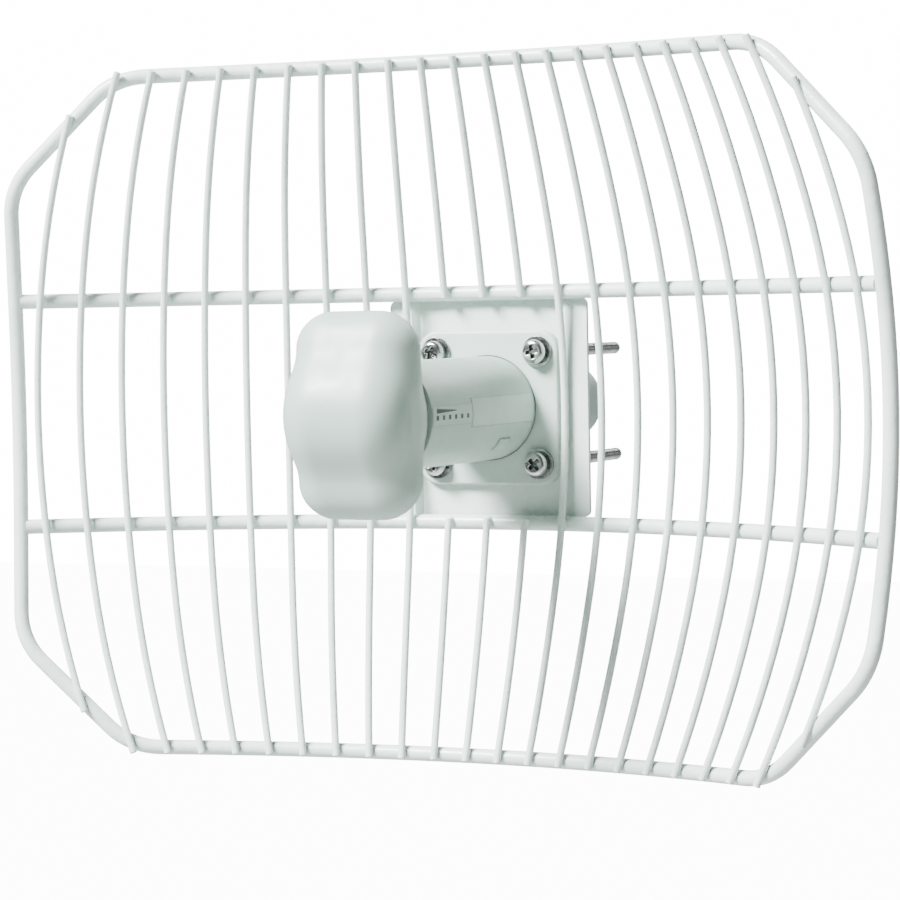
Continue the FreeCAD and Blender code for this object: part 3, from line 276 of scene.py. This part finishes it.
def zincFinish():
    look = zincLook
    finish = Finish("zincPlate")
    spots = finish.ramp(finish.noise(look["spots"]), *look["spotBand"], 0.0, 1.0)
    body = finish.mix(spots, look["bright"], look["dull"])
    # painted shade: crevices around the hardware darken almost to black by ambient occlusion
    finish.colour(finish.paintCornerShade(body, look["creviceShade"], look["creviceShadeReach"], look["creviceShadeShare"]))
    level = look["roughness"]
    finish.roughness(finish.noise(look["spots"] / 2), level - look["smoother"], level + look["rougher"],
                     look["roughBand"])
    edge = finish.roundEdges(look["edge"])
    grain = finish.noise(look["grain"], 3.0)
    finish.surface(finish.bump(grain, look["grainStrength"], finishLook["fine"], edge))
    finish.shader.inputs["Metallic"].default_value = 1.0
    return finish.material


# the third, darker colour with its reach and share is painted shade for corners and crevices
sheetLook = {"bright": (0.66, 0.68, 0.68), "dull": (0.46, 0.48, 0.485), "creviceShade": (0.12, 0.13, 0.13),
             "roughness": 0.36, "smoother": 0.07, "rougher": 0.12, "spangle": 130.0, "castSpangle": 300.0,
             "castRoughness": 0.46, "creviceShadeReach": 0.004, "creviceShadeShare": 0.7, "toneBand": (0.15, 0.85),
             "grain": 600.0, "grainStrength": 0.18, "metallic": 0.9, "edge": 0.0005}


def sheetFinish(name, spangle, roughness):
    # dipped zinc: patches of crystals with a different sheen each
    look = sheetLook
    finish = Finish(name)
    cells = finish.add("ShaderNodeTexVoronoi")
    cells.inputs["Scale"].default_value = spangle
    finish.join(finish.place, cells.inputs["Vector"])
    tone = finish.add("ShaderNodeSeparateColor")
    finish.join(cells.outputs["Color"], tone.inputs["Color"])
    tones = finish.ramp(tone.outputs["Red"], 0.0, 1.0, *look["toneBand"])
    body = finish.mix(tones, look["bright"], look["dull"])
    # painted shade: the sheet darkens in corners and crevices by ambient occlusion
    finish.colour(finish.paintCornerShade(body, look["creviceShade"], look["creviceShadeReach"], look["creviceShadeShare"]))
    finish.roughness(tone.outputs["Green"], roughness - look["smoother"], roughness + look["rougher"],
                     (0.0, 1.0))
    edge = finish.roundEdges(look["edge"])
    grain = finish.noise(look["grain"], 4.0)
    finish.surface(finish.bump(grain, look["grainStrength"], finishLook["coarse"], edge))
    finish.shader.inputs["Metallic"].default_value = look["metallic"]
    return finish.material


plainLook = {"smoother": 0.85, "rougher": 1.2}


def plainFinish(name, colour, roughness, metallic=0.0, scale=500.0, strength=0.1, mottle=0.22):
    finish = Finish(name)
    darker = tuple(channel * (1 - mottle) for channel in colour)
    finish.colour(finish.mottle(scale / 8, colour, darker))
    smoother, rougher = plainLook["smoother"], plainLook["rougher"]
    finish.roughness(finish.noise(scale / 3), roughness * smoother, roughness * rougher)
    finish.surface(finish.bump(finish.noise(scale, 3.0), strength, finishLook["fine"]))
    finish.shader.inputs["Metallic"].default_value = metallic
    return finish.material


boardLook = {"mask": (0.012, 0.09, 0.035), "track": (0.03, 0.17, 0.07), "trackScale": 130.0, "bends": 6.0,
             "trackBand": (0.55, 0.62), "strength": 0.4, "height": 0.0001, "roughness": 0.3}


def boardFinish():
    # solder mask over copper tracks that run along the board
    look = boardLook
    finish = Finish("boardMask")
    tracks = finish.add("ShaderNodeTexWave", wave_type="BANDS", bands_direction="Z", wave_profile="SIN")
    tracks.inputs["Scale"].default_value = look["trackScale"]
    tracks.inputs["Distortion"].default_value = look["bends"]
    tracks.inputs["Detail"].default_value = 1.0
    finish.join(finish.place, tracks.inputs["Vector"])
    step = finish.ramp(tracks.outputs["Fac"], *look["trackBand"], 0.0, 1.0)
    finish.colour(finish.mix(step, look["mask"], look["track"]))
    finish.surface(finish.bump(step, look["strength"], look["height"]))
    finish.shader.inputs["Roughness"].default_value = look["roughness"]
    return finish.material


finishes = {
    "white_coat": coatFinish(),
    "feed_plastic": plasticFinish("feedPlastic"),
    "cover_plastic": plasticFinish("coverPlastic", lift=0.03, roughness=0.04),
    "bracket_plastic": plasticFinish("bracketPlastic", lift=0.10, roughness=0.03),
    "zinc_hardware": zincFinish(),
    "zinc_sheet": sheetFinish("zincSheet", sheetLook["spangle"], sheetLook["roughness"]),
    "cast_zinc": sheetFinish("castZinc", sheetLook["castSpangle"], sheetLook["castRoughness"]),
    "seal_rubber": plainFinish("sealRubber", (0.018, 0.018, 0.02), 0.6, scale=900.0, strength=0.3),
    "board_green": boardFinish(),
    "shield_tin": plainFinish("shieldTin", (0.72, 0.72, 0.70), 0.28, metallic=1.0, scale=700.0,
                              strength=0.12),
    "jack_plastic": plainFinish("jackPlastic", (0.03, 0.03, 0.032), 0.35, scale=1200.0, strength=0.15),
    "dipole_copper": plainFinish("dipoleCopper", (0.75, 0.42, 0.26), 0.3, metallic=1.0, strength=0.12),
    "clear_plastic": plainFinish("clearPlastic", (0.72, 0.76, 0.75), 0.18, scale=400.0, strength=0.05),
    "label_film": plainFinish("labelFilm", (0.42, 0.52, 0.475), 0.42, scale=1800.0, strength=0.02,
                              mottle=0.04),
    "blank_film": plainFinish("blankFilm", (0.45, 0.55, 0.505), 0.42, scale=1800.0, strength=0.02,
                              mottle=0.04),
}
inkFinish = plainFinish("labelInk", (0.035, 0.045, 0.042), 0.4, scale=2200.0)
edgeFinish = plainFinish("labelEdge", (0.36, 0.41, 0.39), 0.4, scale=2200.0)
for name, node in nodes.items():
    node.data.materials.clear()
    node.data.materials.append(finishes[slotOf[name]])
print("finishes made:", len(finishes))


radomeLook = {"lobeRadius": 25.6, "lobeBlend": 7.9, "outerSetback": 10.9, "shoulderRadius": 13.1,
              "sideRound": 15.5, "rearRound": 15.5, "neckBlend": 6.6, "neckReach": 3.2,
              "neckClearance": 0.05, "centreSetback": 1.0, "reach": 60.0, "poleGap": 0.004, "halvings": 40,
              "around": 144, "along": 132}


def roundIntersection(first, second, radius):
    overlap = np.hypot(np.maximum(radius + first, 0), np.maximum(radius + second, 0))
    return np.minimum(-radius, np.maximum(first, second)) + overlap


def roundUnion(first, second, radius):
    overlap = np.hypot(np.maximum(radius - first, 0), np.maximum(radius - second, 0))
    return np.maximum(radius, np.minimum(first, second)) - overlap


def softUnion(first, second, width):
    share = np.maximum(width - np.abs(first - second), 0) / width
    return np.minimum(first, second) - share * share * width / 4


def buildRadome():
    look = radomeLook
    low, high = corners("radome")
    middleX, middleZ = (low.x + high.x) / 2, (low.z + high.z) / 2
    halfWidth, halfHeight = (high.x - low.x) / 2, (high.z - low.z) / 2
    neckEnd = tubeLow.y + look["neckReach"]
    centre = np.array((middleX, (low.y + high.y) / 2 + look["centreSetback"], middleZ))

    def outside(x, y, z):
        # below zero inside the shell: a middle lobe, a shallower body, the sides, the back and the neck
        fromMiddle = np.abs(z - middleZ)
        lobe = np.hypot(y - (low.y + look["lobeRadius"]), fromMiddle) - look["lobeRadius"]
        radius = look["shoulderRadius"]
        bendY = low.y + look["outerSetback"] + radius
        ahead, above = np.maximum(bendY - y, 0), np.maximum(fromMiddle - (halfHeight - radius), 0)
        shoulders = np.hypot(ahead, above) - radius
        front = softUnion(lobe, shoulders, look["lobeBlend"])
        shell = roundIntersection(front, np.abs(x - middleX) - halfWidth, look["sideRound"])
        shell = roundIntersection(shell, y - high.y, look["rearRound"])
        neck = np.hypot(x - axisX, z - axisZ) - tubeRadius - look["neckClearance"]
        neck = np.maximum(neck, centre[1] - y)
        return np.maximum(roundUnion(shell, neck, look["neckBlend"]), y - neckEnd)

    rows, columns = look["along"], look["around"]
    polar = np.linspace(look["poleGap"], math.pi - look["poleGap"], rows)[:, None]
    turn = np.linspace(0, 2 * math.pi, columns, endpoint=False)[None, :]
    direction = np.stack([np.sin(polar) * np.cos(turn), -np.cos(polar) * np.ones_like(turn),
                          np.sin(polar) * np.sin(turn)], axis=-1)
    near, far = np.zeros((rows, columns)), np.full((rows, columns), look["reach"])
    for halving in range(look["halvings"]):
        middle = (near + far) / 2
        at = centre + direction * middle[..., None]
        inside = outside(at[..., 0], at[..., 1], at[..., 2]) < 0
        near, far = np.where(inside, middle, near), np.where(inside, far, middle)
    points = (centre + direction * near[..., None]).reshape(-1, 3).tolist()
    faces = gridFaces(rows, columns)
    faces.append(tuple(range(columns)))
    faces.append(tuple(reversed(range((rows - 1) * columns, rows * columns))))
    faces = [tuple(reversed(face)) for face in faces]
    shell = addPiece("radomeShell", points, faces, bodyOf["radome"],
                     finishes["feed_plastic"])
    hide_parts("radome")


buildRadome()
print("radome built")


screwLook = {"shankRadius": 2.5, "headRadius": 4.7, "headHeight": 3.4, "headRound": 1.7, "pitch": 0.8,
             "threadDepth": 0.42, "threadLength": 46.0, "runOut": 1.0, "tipChamfer": 0.7,
             "crossArm": 2.75, "crossHalf": 0.62, "crossDepth": 1.9, "crossSlope": 0.22, "armSlope": 0.7,
             "crown": 0.25, "rings": 44, "around": 96, "shankAround": 20, "perTurn": 6,
             "turns": (0.35, 1.1, 0.75, 0.2)}


def screwHead(x, z, front, turn):
    look = screwLook
    rings, around = look["rings"], look["around"]
    radii = np.linspace(0, look["headRadius"], rings)
    points = []
    for radius in radii:
        drop = max(0.0, radius - (look["headRadius"] - look["headRound"]))
        rounded = look["headRound"] - math.sqrt(max(look["headRound"] ** 2 - drop ** 2, 0))
        crown = look["crown"] * (radius / look["headRadius"]) ** 2
        for column in range(around):
            angle = 2 * math.pi * column / around
            p = radius * math.cos(angle - turn)
            q = radius * math.sin(angle - turn)
            recess = 0.0
            for along, across in ((p, q), (q, p)):
                side = min(max((look["crossHalf"] - abs(across)) / look["crossSlope"] + 1, 0), 1)
                end = min(max((look["crossArm"] - abs(along)) / look["armSlope"], 0), 1)
                recess = max(recess, side * end)
            depth = rounded + crown + recess * look["crossDepth"]
            points.append((x + radius * math.cos(angle), front + depth, z + radius * math.sin(angle)))
    under = front + look["headHeight"]
    for radius in (look["headRadius"], look["shankRadius"]):
        for column in range(around):
            angle = 2 * math.pi * column / around
            points.append((x + radius * math.cos(angle), under, z + radius * math.sin(angle)))
    return points, gridFaces(rings + 2, around)


def screwShank(x, z, start, end):
    look = screwLook
    around, perTurn = look["shankAround"], look["perTurn"]
    threadStart = end - look["threadLength"]
    levels = [start, threadStart - look["runOut"]]
    count = int(look["threadLength"] / look["pitch"] * perTurn)
    levels += [threadStart + look["threadLength"] * k / count for k in range(count + 1)]
    points = []
    for y in levels:
        for column in range(around):
            phase = ((y - threadStart) / look["pitch"] - column / around) % 1.0
            groove = look["threadDepth"] * abs(2 * phase - 1)
            if y < threadStart:
                groove = 0.0
            chamfer = max(0.0, look["tipChamfer"] - (end - y))
            radius = look["shankRadius"] - groove - chamfer
            angle = 2 * math.pi * column / around
            points.append((x + radius * math.cos(angle), y, z + radius * math.sin(angle)))
    faces = gridFaces(len(levels), around)
    faces.append(tuple((len(levels) - 1) * around + k for k in reversed(range(around))))
    return points, faces


def buildScrews():
    low, high = corners("long_screws")
    head = screwLook["headRadius"]
    places = [(x, z) for x in (low.x + head, high.x - head) for z in (low.z + head, high.z - head)]
    parts = []
    for (x, z), turn in zip(places, screwLook["turns"]):
        parts.append(screwHead(x, z, low.y, turn))
        parts.append(screwShank(x, z, low.y + screwLook["headHeight"], high.y))
    points, faces = joinMeshes(parts)
    screws = addPiece("longScrews", points, faces, bodyOf["long_screws"],
                      finishes["zinc_hardware"])
    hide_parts("long_screws")


buildScrews()
print("screws built")


springLook = {"thickness": 0.4, "bendRadius": 0.9, "bendSteps": 10, "leafSteps": 40,
              "moves": 0.63, "still": 0.86}


def buildSpring():
    # the button pushes the leaf's front part in; its rear end curls out and stands on the tube's wall
    look = springLook
    joints = frame["record"]["behaviour"]["joints"]
    press = next(joint for joint in joints if joint["name"] == "release_press")
    outward = -Vector(press["axis"]).normalized()
    rearward = Vector((0, 1, 0))
    sideways = outward.cross(rearward)
    places = [vertex.co / mm for vertex in nodes["release_spring"].data.vertices]
    levels = [place.dot(outward) for place in places]
    sides = [place.dot(sideways) for place in places]
    near, far = min(sides), max(sides)
    low, high = corners("release_spring")
    half, radius = look["thickness"] / 2, look["bendRadius"]
    level, rear = min(levels) + half, high.y - half
    steps = look["leafSteps"]
    leaf = [(low.y + (rear - radius - low.y) * k / steps, level, 0.0) for k in range(steps + 1)]
    turns = [math.pi / 2 * k / look["bendSteps"] for k in range(1, look["bendSteps"] + 1)]
    curl = [(rear - radius + radius * math.sin(t), level + radius * (1 - math.cos(t)), t) for t in turns]
    points = []
    for y, height, turn in leaf + curl + [(rear, max(levels), math.pi / 2)]:
        for side, across in ((near, -half), (far, -half), (far, half), (near, half)):
            lift, shift = height + across * math.cos(turn), y - across * math.sin(turn)
            points.append(tuple(sideways * side + outward * lift + rearward * shift))
    count = len(points) // 4
    faces = gridFaces(count, 4) + [(3, 2, 1, 0), tuple(4 * (count - 1) + k for k in range(4))]
    spring = addObject("releaseLeaf", points, faces, finishes[slotOf["release_spring"]], smooth=False)
    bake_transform(spring)
    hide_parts("release_spring")


buildSpring()
print("release spring built")


weldLook = {"radius": 2.15, "wide": 0.9, "deep": 0.8, "stretch": 1.25, "setback": 1.6,
            "rings": 8, "around": 12, "poleGap": 0.05,
            "searchReach": 9.0, "wireGap": 6.0, "fewestPoints": 6}


def blob(x, y, z, spread):
    look = weldLook
    points = []
    for row in range(look["rings"] + 1):
        polar = look["poleGap"] + (math.pi - 2 * look["poleGap"]) * row / look["rings"]
        for column in range(look["around"]):
            turn = 2 * math.pi * column / look["around"]
            points.append((x + spread[0] * math.sin(polar) * math.cos(turn),
                           y + spread[1] * math.sin(polar) * math.sin(turn),
                           z + spread[2] * math.cos(polar)))
    return points, gridFaces(look["rings"] + 1, look["around"])


def wireCentres(name, height, reach):
    # the middle of each wire of a node near this height
    places = np.array([v.co[:] for v in nodes[name].data.vertices]) / mm
    near = places[np.abs(places[:, 2] - height) < reach]
    centres = []
    order = near[np.argsort(near[:, 0])]
    if len(order) == 0:
        return centres
    splits = np.where(np.diff(order[:, 0]) > weldLook["wireGap"])[0] + 1
    for group in np.split(order, splits):
        if len(group) < weldLook["fewestPoints"]:
            continue
        offset = group[:, 2] - height
        fits = [np.polyfit(offset, group[:, k], 1)[1] for k in (0, 1)]
        centres.append(tuple(fits))
    return centres


def buildWelds():
    # a blob of coat where each wire is welded to a cross rod
    look = weldLook
    spread = tuple(look["radius"] * look[key] for key in ("wide", "deep", "stretch"))
    parts = []
    wireNames = [name for name in nodes if "wires" in name]
    for rod in ("upper_cross_rod", "lower_cross_rod"):
        low, high = corners(rod)
        height = (low.z + high.z) / 2
        for name in wireNames:
            for x, y in wireCentres(name, height, look["searchReach"]):
                parts.append(blob(x, y + look["setback"], height, spread))
    points, faces = joinMeshes(parts)
    addPiece("wireWelds", points, faces, "antenna", finishes["white_coat"])
    return len(parts)


print("welds built:", buildWelds())


labelLook = {"lift": 0.06, "line": 0.22, "dotCount": 6, "dotWidth": 2.0, "dotHeight": 1.7, "dotLevel": -0.5,
             "wedgeTall": 1.8, "wedgeThin": 0.35, "wedgeLevel": 1.1, "wedgeShare": 0.5, "wedgeInset": 3.0,
             "guideLead": 1.1, "guideTail": 1.9, "columns": 7, "footShare": 2.4}


def onLabel(radius, y, across):
    angle = across / radius
    return (axisX + radius * math.cos(angle), y, axisZ + radius * math.sin(angle))


def labelPatch(radius, start, end, lower, upper, lowerEnd=None, upperEnd=None):
    # a thin printed patch; lowerEnd and upperEnd taper it along the feed
    lowerEnd = lower if lowerEnd is None else lowerEnd
    upperEnd = upper if upperEnd is None else upperEnd
    rows, columns = 2, labelLook["columns"]
    points = []
    for row in range(rows):
        share = row / (rows - 1)
        y = start + (end - start) * share
        bottom, top = lower + (lowerEnd - lower) * share, upper + (upperEnd - upper) * share
        for column in range(columns):
            points.append(onLabel(radius, y, bottom + (top - bottom) * column / (columns - 1)))
    return points, gridFaces(rows, columns, closed=False)


def labelReach(node):
    low, high = corners(node)
    radius = high.x - axisX
    lower = radius * math.asin((low.z - axisZ) / radius)
    upper = radius * math.asin((high.z - axisZ) / radius)
    return radius, low.y, high.y, lower, upper


def labelBorder(radius, start, end, lower, upper, line, foot):
    edges = ((start, end, lower, lower + foot), (start, end, upper - line, upper),
             (start, start + line, lower, upper), (end - line, end, lower, upper))
    return [labelPatch(radius, *edge) for edge in edges]


def buildLabelMarks():
    look = labelLook
    radius, start, end, lower, upper = labelReach("lamp_label")
    radius += look["lift"]
    foot, top = look["wedgeLevel"], look["wedgeLevel"] + look["wedgeTall"]
    wedgeStart = start + look["wedgeInset"]
    wedgeEnd = wedgeStart + (end - start) * look["wedgeShare"]
    middle = top - look["wedgeTall"] / 2
    ink = [labelPatch(radius, wedgeStart, wedgeEnd, foot, top, middle - look["wedgeThin"], middle)]
    guideLow, guideHigh = corners("light_guide")
    first, last = guideLow.y + look["guideLead"], guideHigh.y - look["guideTail"]
    level, halfWide, halfTall = look["dotLevel"], look["dotWidth"] / 2, look["dotHeight"] / 2
    for index in range(look["dotCount"]):
        y = first + (last - first) * index / (look["dotCount"] - 1)
        ink.append(labelPatch(radius, y - halfWide, y + halfWide, level - halfTall, level + halfTall))
    points, faces = joinMeshes(ink)
    addPiece("labelInk", points, faces, bodyOf["lamp_label"], inkFinish, smooth=False)
    border = labelBorder(radius, start, end, lower, upper, look["line"], look["line"])
    radius, start, end, lower, upper = labelReach("blank_label")
    border += labelBorder(radius + look["lift"], start, end, lower, upper, look["line"],
                          look["line"] * look["footShare"])
    points, faces = joinMeshes(border)
    addPiece("labelEdges", points, faces, bodyOf["blank_label"], edgeFinish, smooth=False)


buildLabelMarks()
print("label marks built")


studioLook = {"floorDrop": 1.3, "floorReach": 14.0, "floorTint": (0.70, 0.72, 0.71),
              "skyTint": (0.97, 1.0, 0.99), "skyStrength": 0.16, "paperStrength": 16.0, "paperShare": 0.85,
              "paperShade": 0.985, "paperMottle": 3.0, "paperGrain": 700.0, "paperRelief": 0.05,
              "paperRoughness": 0.8, "aimAhead": -0.1}


def buildFloor():
    look = studioLook
    reach, level = look["floorReach"], (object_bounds()[0].z - look["floorDrop"])
    mesh = bpy.data.meshes.new("studioFloor")
    edges = ((-reach, -reach), (reach, -reach), (reach, reach), (-reach, reach))
    mesh.from_pydata([(x, y, level) for x, y in edges], [], [(0, 1, 2, 3)])
    floor = bpy.data.objects.new("studioFloor", mesh)
    bpy.context.scene.collection.objects.link(floor)
    finish = Finish("studioPaper")
    shade = tuple(channel * look["paperShade"] for channel in look["floorTint"])
    clouds = finish.ramp(finish.noise(look["paperMottle"]), *finishLook["roughBand"], 0.0, 1.0)
    finish.colour(finish.mix(clouds, look["floorTint"], shade))
    grain = finish.noise(look["paperGrain"])
    finish.surface(finish.bump(grain, look["paperRelief"], finishLook["coarse"]))
    finish.shader.inputs["Roughness"].default_value = look["paperRoughness"]
    overexpose(finish.tree, finish.shader.outputs["BSDF"], "ShaderNodeEmission", look["paperShare"])
    mesh.materials.append(finish.material)


def overexpose(tree, lit, kind, share):
    # the paper and the sky burn out to white for the camera, and light the object only softly
    tree.links.remove(lit.links[0])
    glow = tree.nodes.new(kind)
    glow.inputs["Color"].default_value = (1.0, 1.0, 1.0, 1.0)
    glow.inputs["Strength"].default_value = studioLook["paperStrength"]
    seen = tree.nodes.new("ShaderNodeMath")
    seen.operation = "MULTIPLY"
    seen.inputs[1].default_value = share
    tree.links.new(tree.nodes.new("ShaderNodeLightPath").outputs["Is Camera Ray"], seen.inputs[0])
    blend = tree.nodes.new("ShaderNodeMixShader")
    tree.links.new(seen.outputs["Value"], blend.inputs["Fac"])
    tree.links.new(lit, blend.inputs[1])
    tree.links.new(glow.outputs[0], blend.inputs[2])
    ends = [node for node in tree.nodes if node.type in ("OUTPUT_MATERIAL", "OUTPUT_WORLD")]
    tree.links.new(blend.outputs["Shader"], ends[0].inputs["Surface"])


lampLook = {
    "keyLamp": {"place": (-1.1, -1.8, 1.9), "size": (1.1, 0.8), "power": 540.0, "tint": (1.0, 1.0, 0.99)},
    "fillLamp": {"place": (1.9, -1.0, 0.5), "size": (1.2, 1.2), "power": 4.0, "tint": (0.97, 1.0, 0.99)},
    "rimLamp": {"place": (0.6, 1.6, 1.3), "size": (1.0, 1.0), "power": 30.0, "tint": (1.0, 1.0, 1.0)},
}


def addLamp(name, place, target, size, power, tint):
    lamp = bpy.data.lights.new(name, "AREA")
    lamp.shape = "RECTANGLE"
    lamp.size, lamp.size_y = size
    lamp.energy = power
    lamp.color = tint
    holder = bpy.data.objects.new(name, lamp)
    holder.location = place
    holder.rotation_mode = "QUATERNION"
    holder.rotation_quaternion = (Vector(target) - Vector(place)).to_track_quat("-Z", "Y")
    bpy.context.scene.collection.objects.link(holder)


def buildStudio():
    sky = bpy.data.worlds.new("studioSky")
    sky.use_nodes = True
    background = sky.node_tree.nodes["Background"]
    background.inputs["Color"].default_value = (*studioLook["skyTint"], 1.0)
    background.inputs["Strength"].default_value = studioLook["skyStrength"]
    overexpose(sky.node_tree, background.outputs["Background"], "ShaderNodeBackground", 1.0)
    bpy.context.scene.world = sky
    aim = (axisX * mm, studioLook["aimAhead"], 0.0)
    for name, look in lampLook.items():
        addLamp(name, look["place"], aim, look["size"], look["power"], look["tint"])


buildFloor()
buildStudio()
print("studio built")


cameraLook = {"place": (0.54731, -1.13273, 0.03830), "turn": 0.44733, "tip": -0.04680, "lean": -0.01892,
              "lens": 120.146, "sensor": 36.0}


def buildCamera():
    look = cameraLook
    turn, tip, lean = look["turn"], look["tip"], look["lean"]
    ahead = Vector((-math.sin(turn) * math.cos(tip), math.cos(turn) * math.cos(tip), math.sin(tip)))
    level = Vector((math.cos(turn), math.sin(turn), 0))
    upright = level.cross(ahead)
    right = math.cos(lean) * level + math.sin(lean) * upright
    up = -math.sin(lean) * level + math.cos(lean) * upright
    lens = bpy.data.cameras.new("frontCamera")
    lens.sensor_width = look["sensor"]
    lens.lens = look["lens"]
    camera = bpy.data.objects.new("frontCamera", lens)
    turned = Matrix((right, up, -ahead)).transposed().to_4x4()
    camera.matrix_world = Matrix.Translation(look["place"]) @ turned
    bpy.context.scene.collection.objects.link(camera)
    bpy.context.scene.camera = camera


buildCamera()
print("camera placed")
print("scene ready")
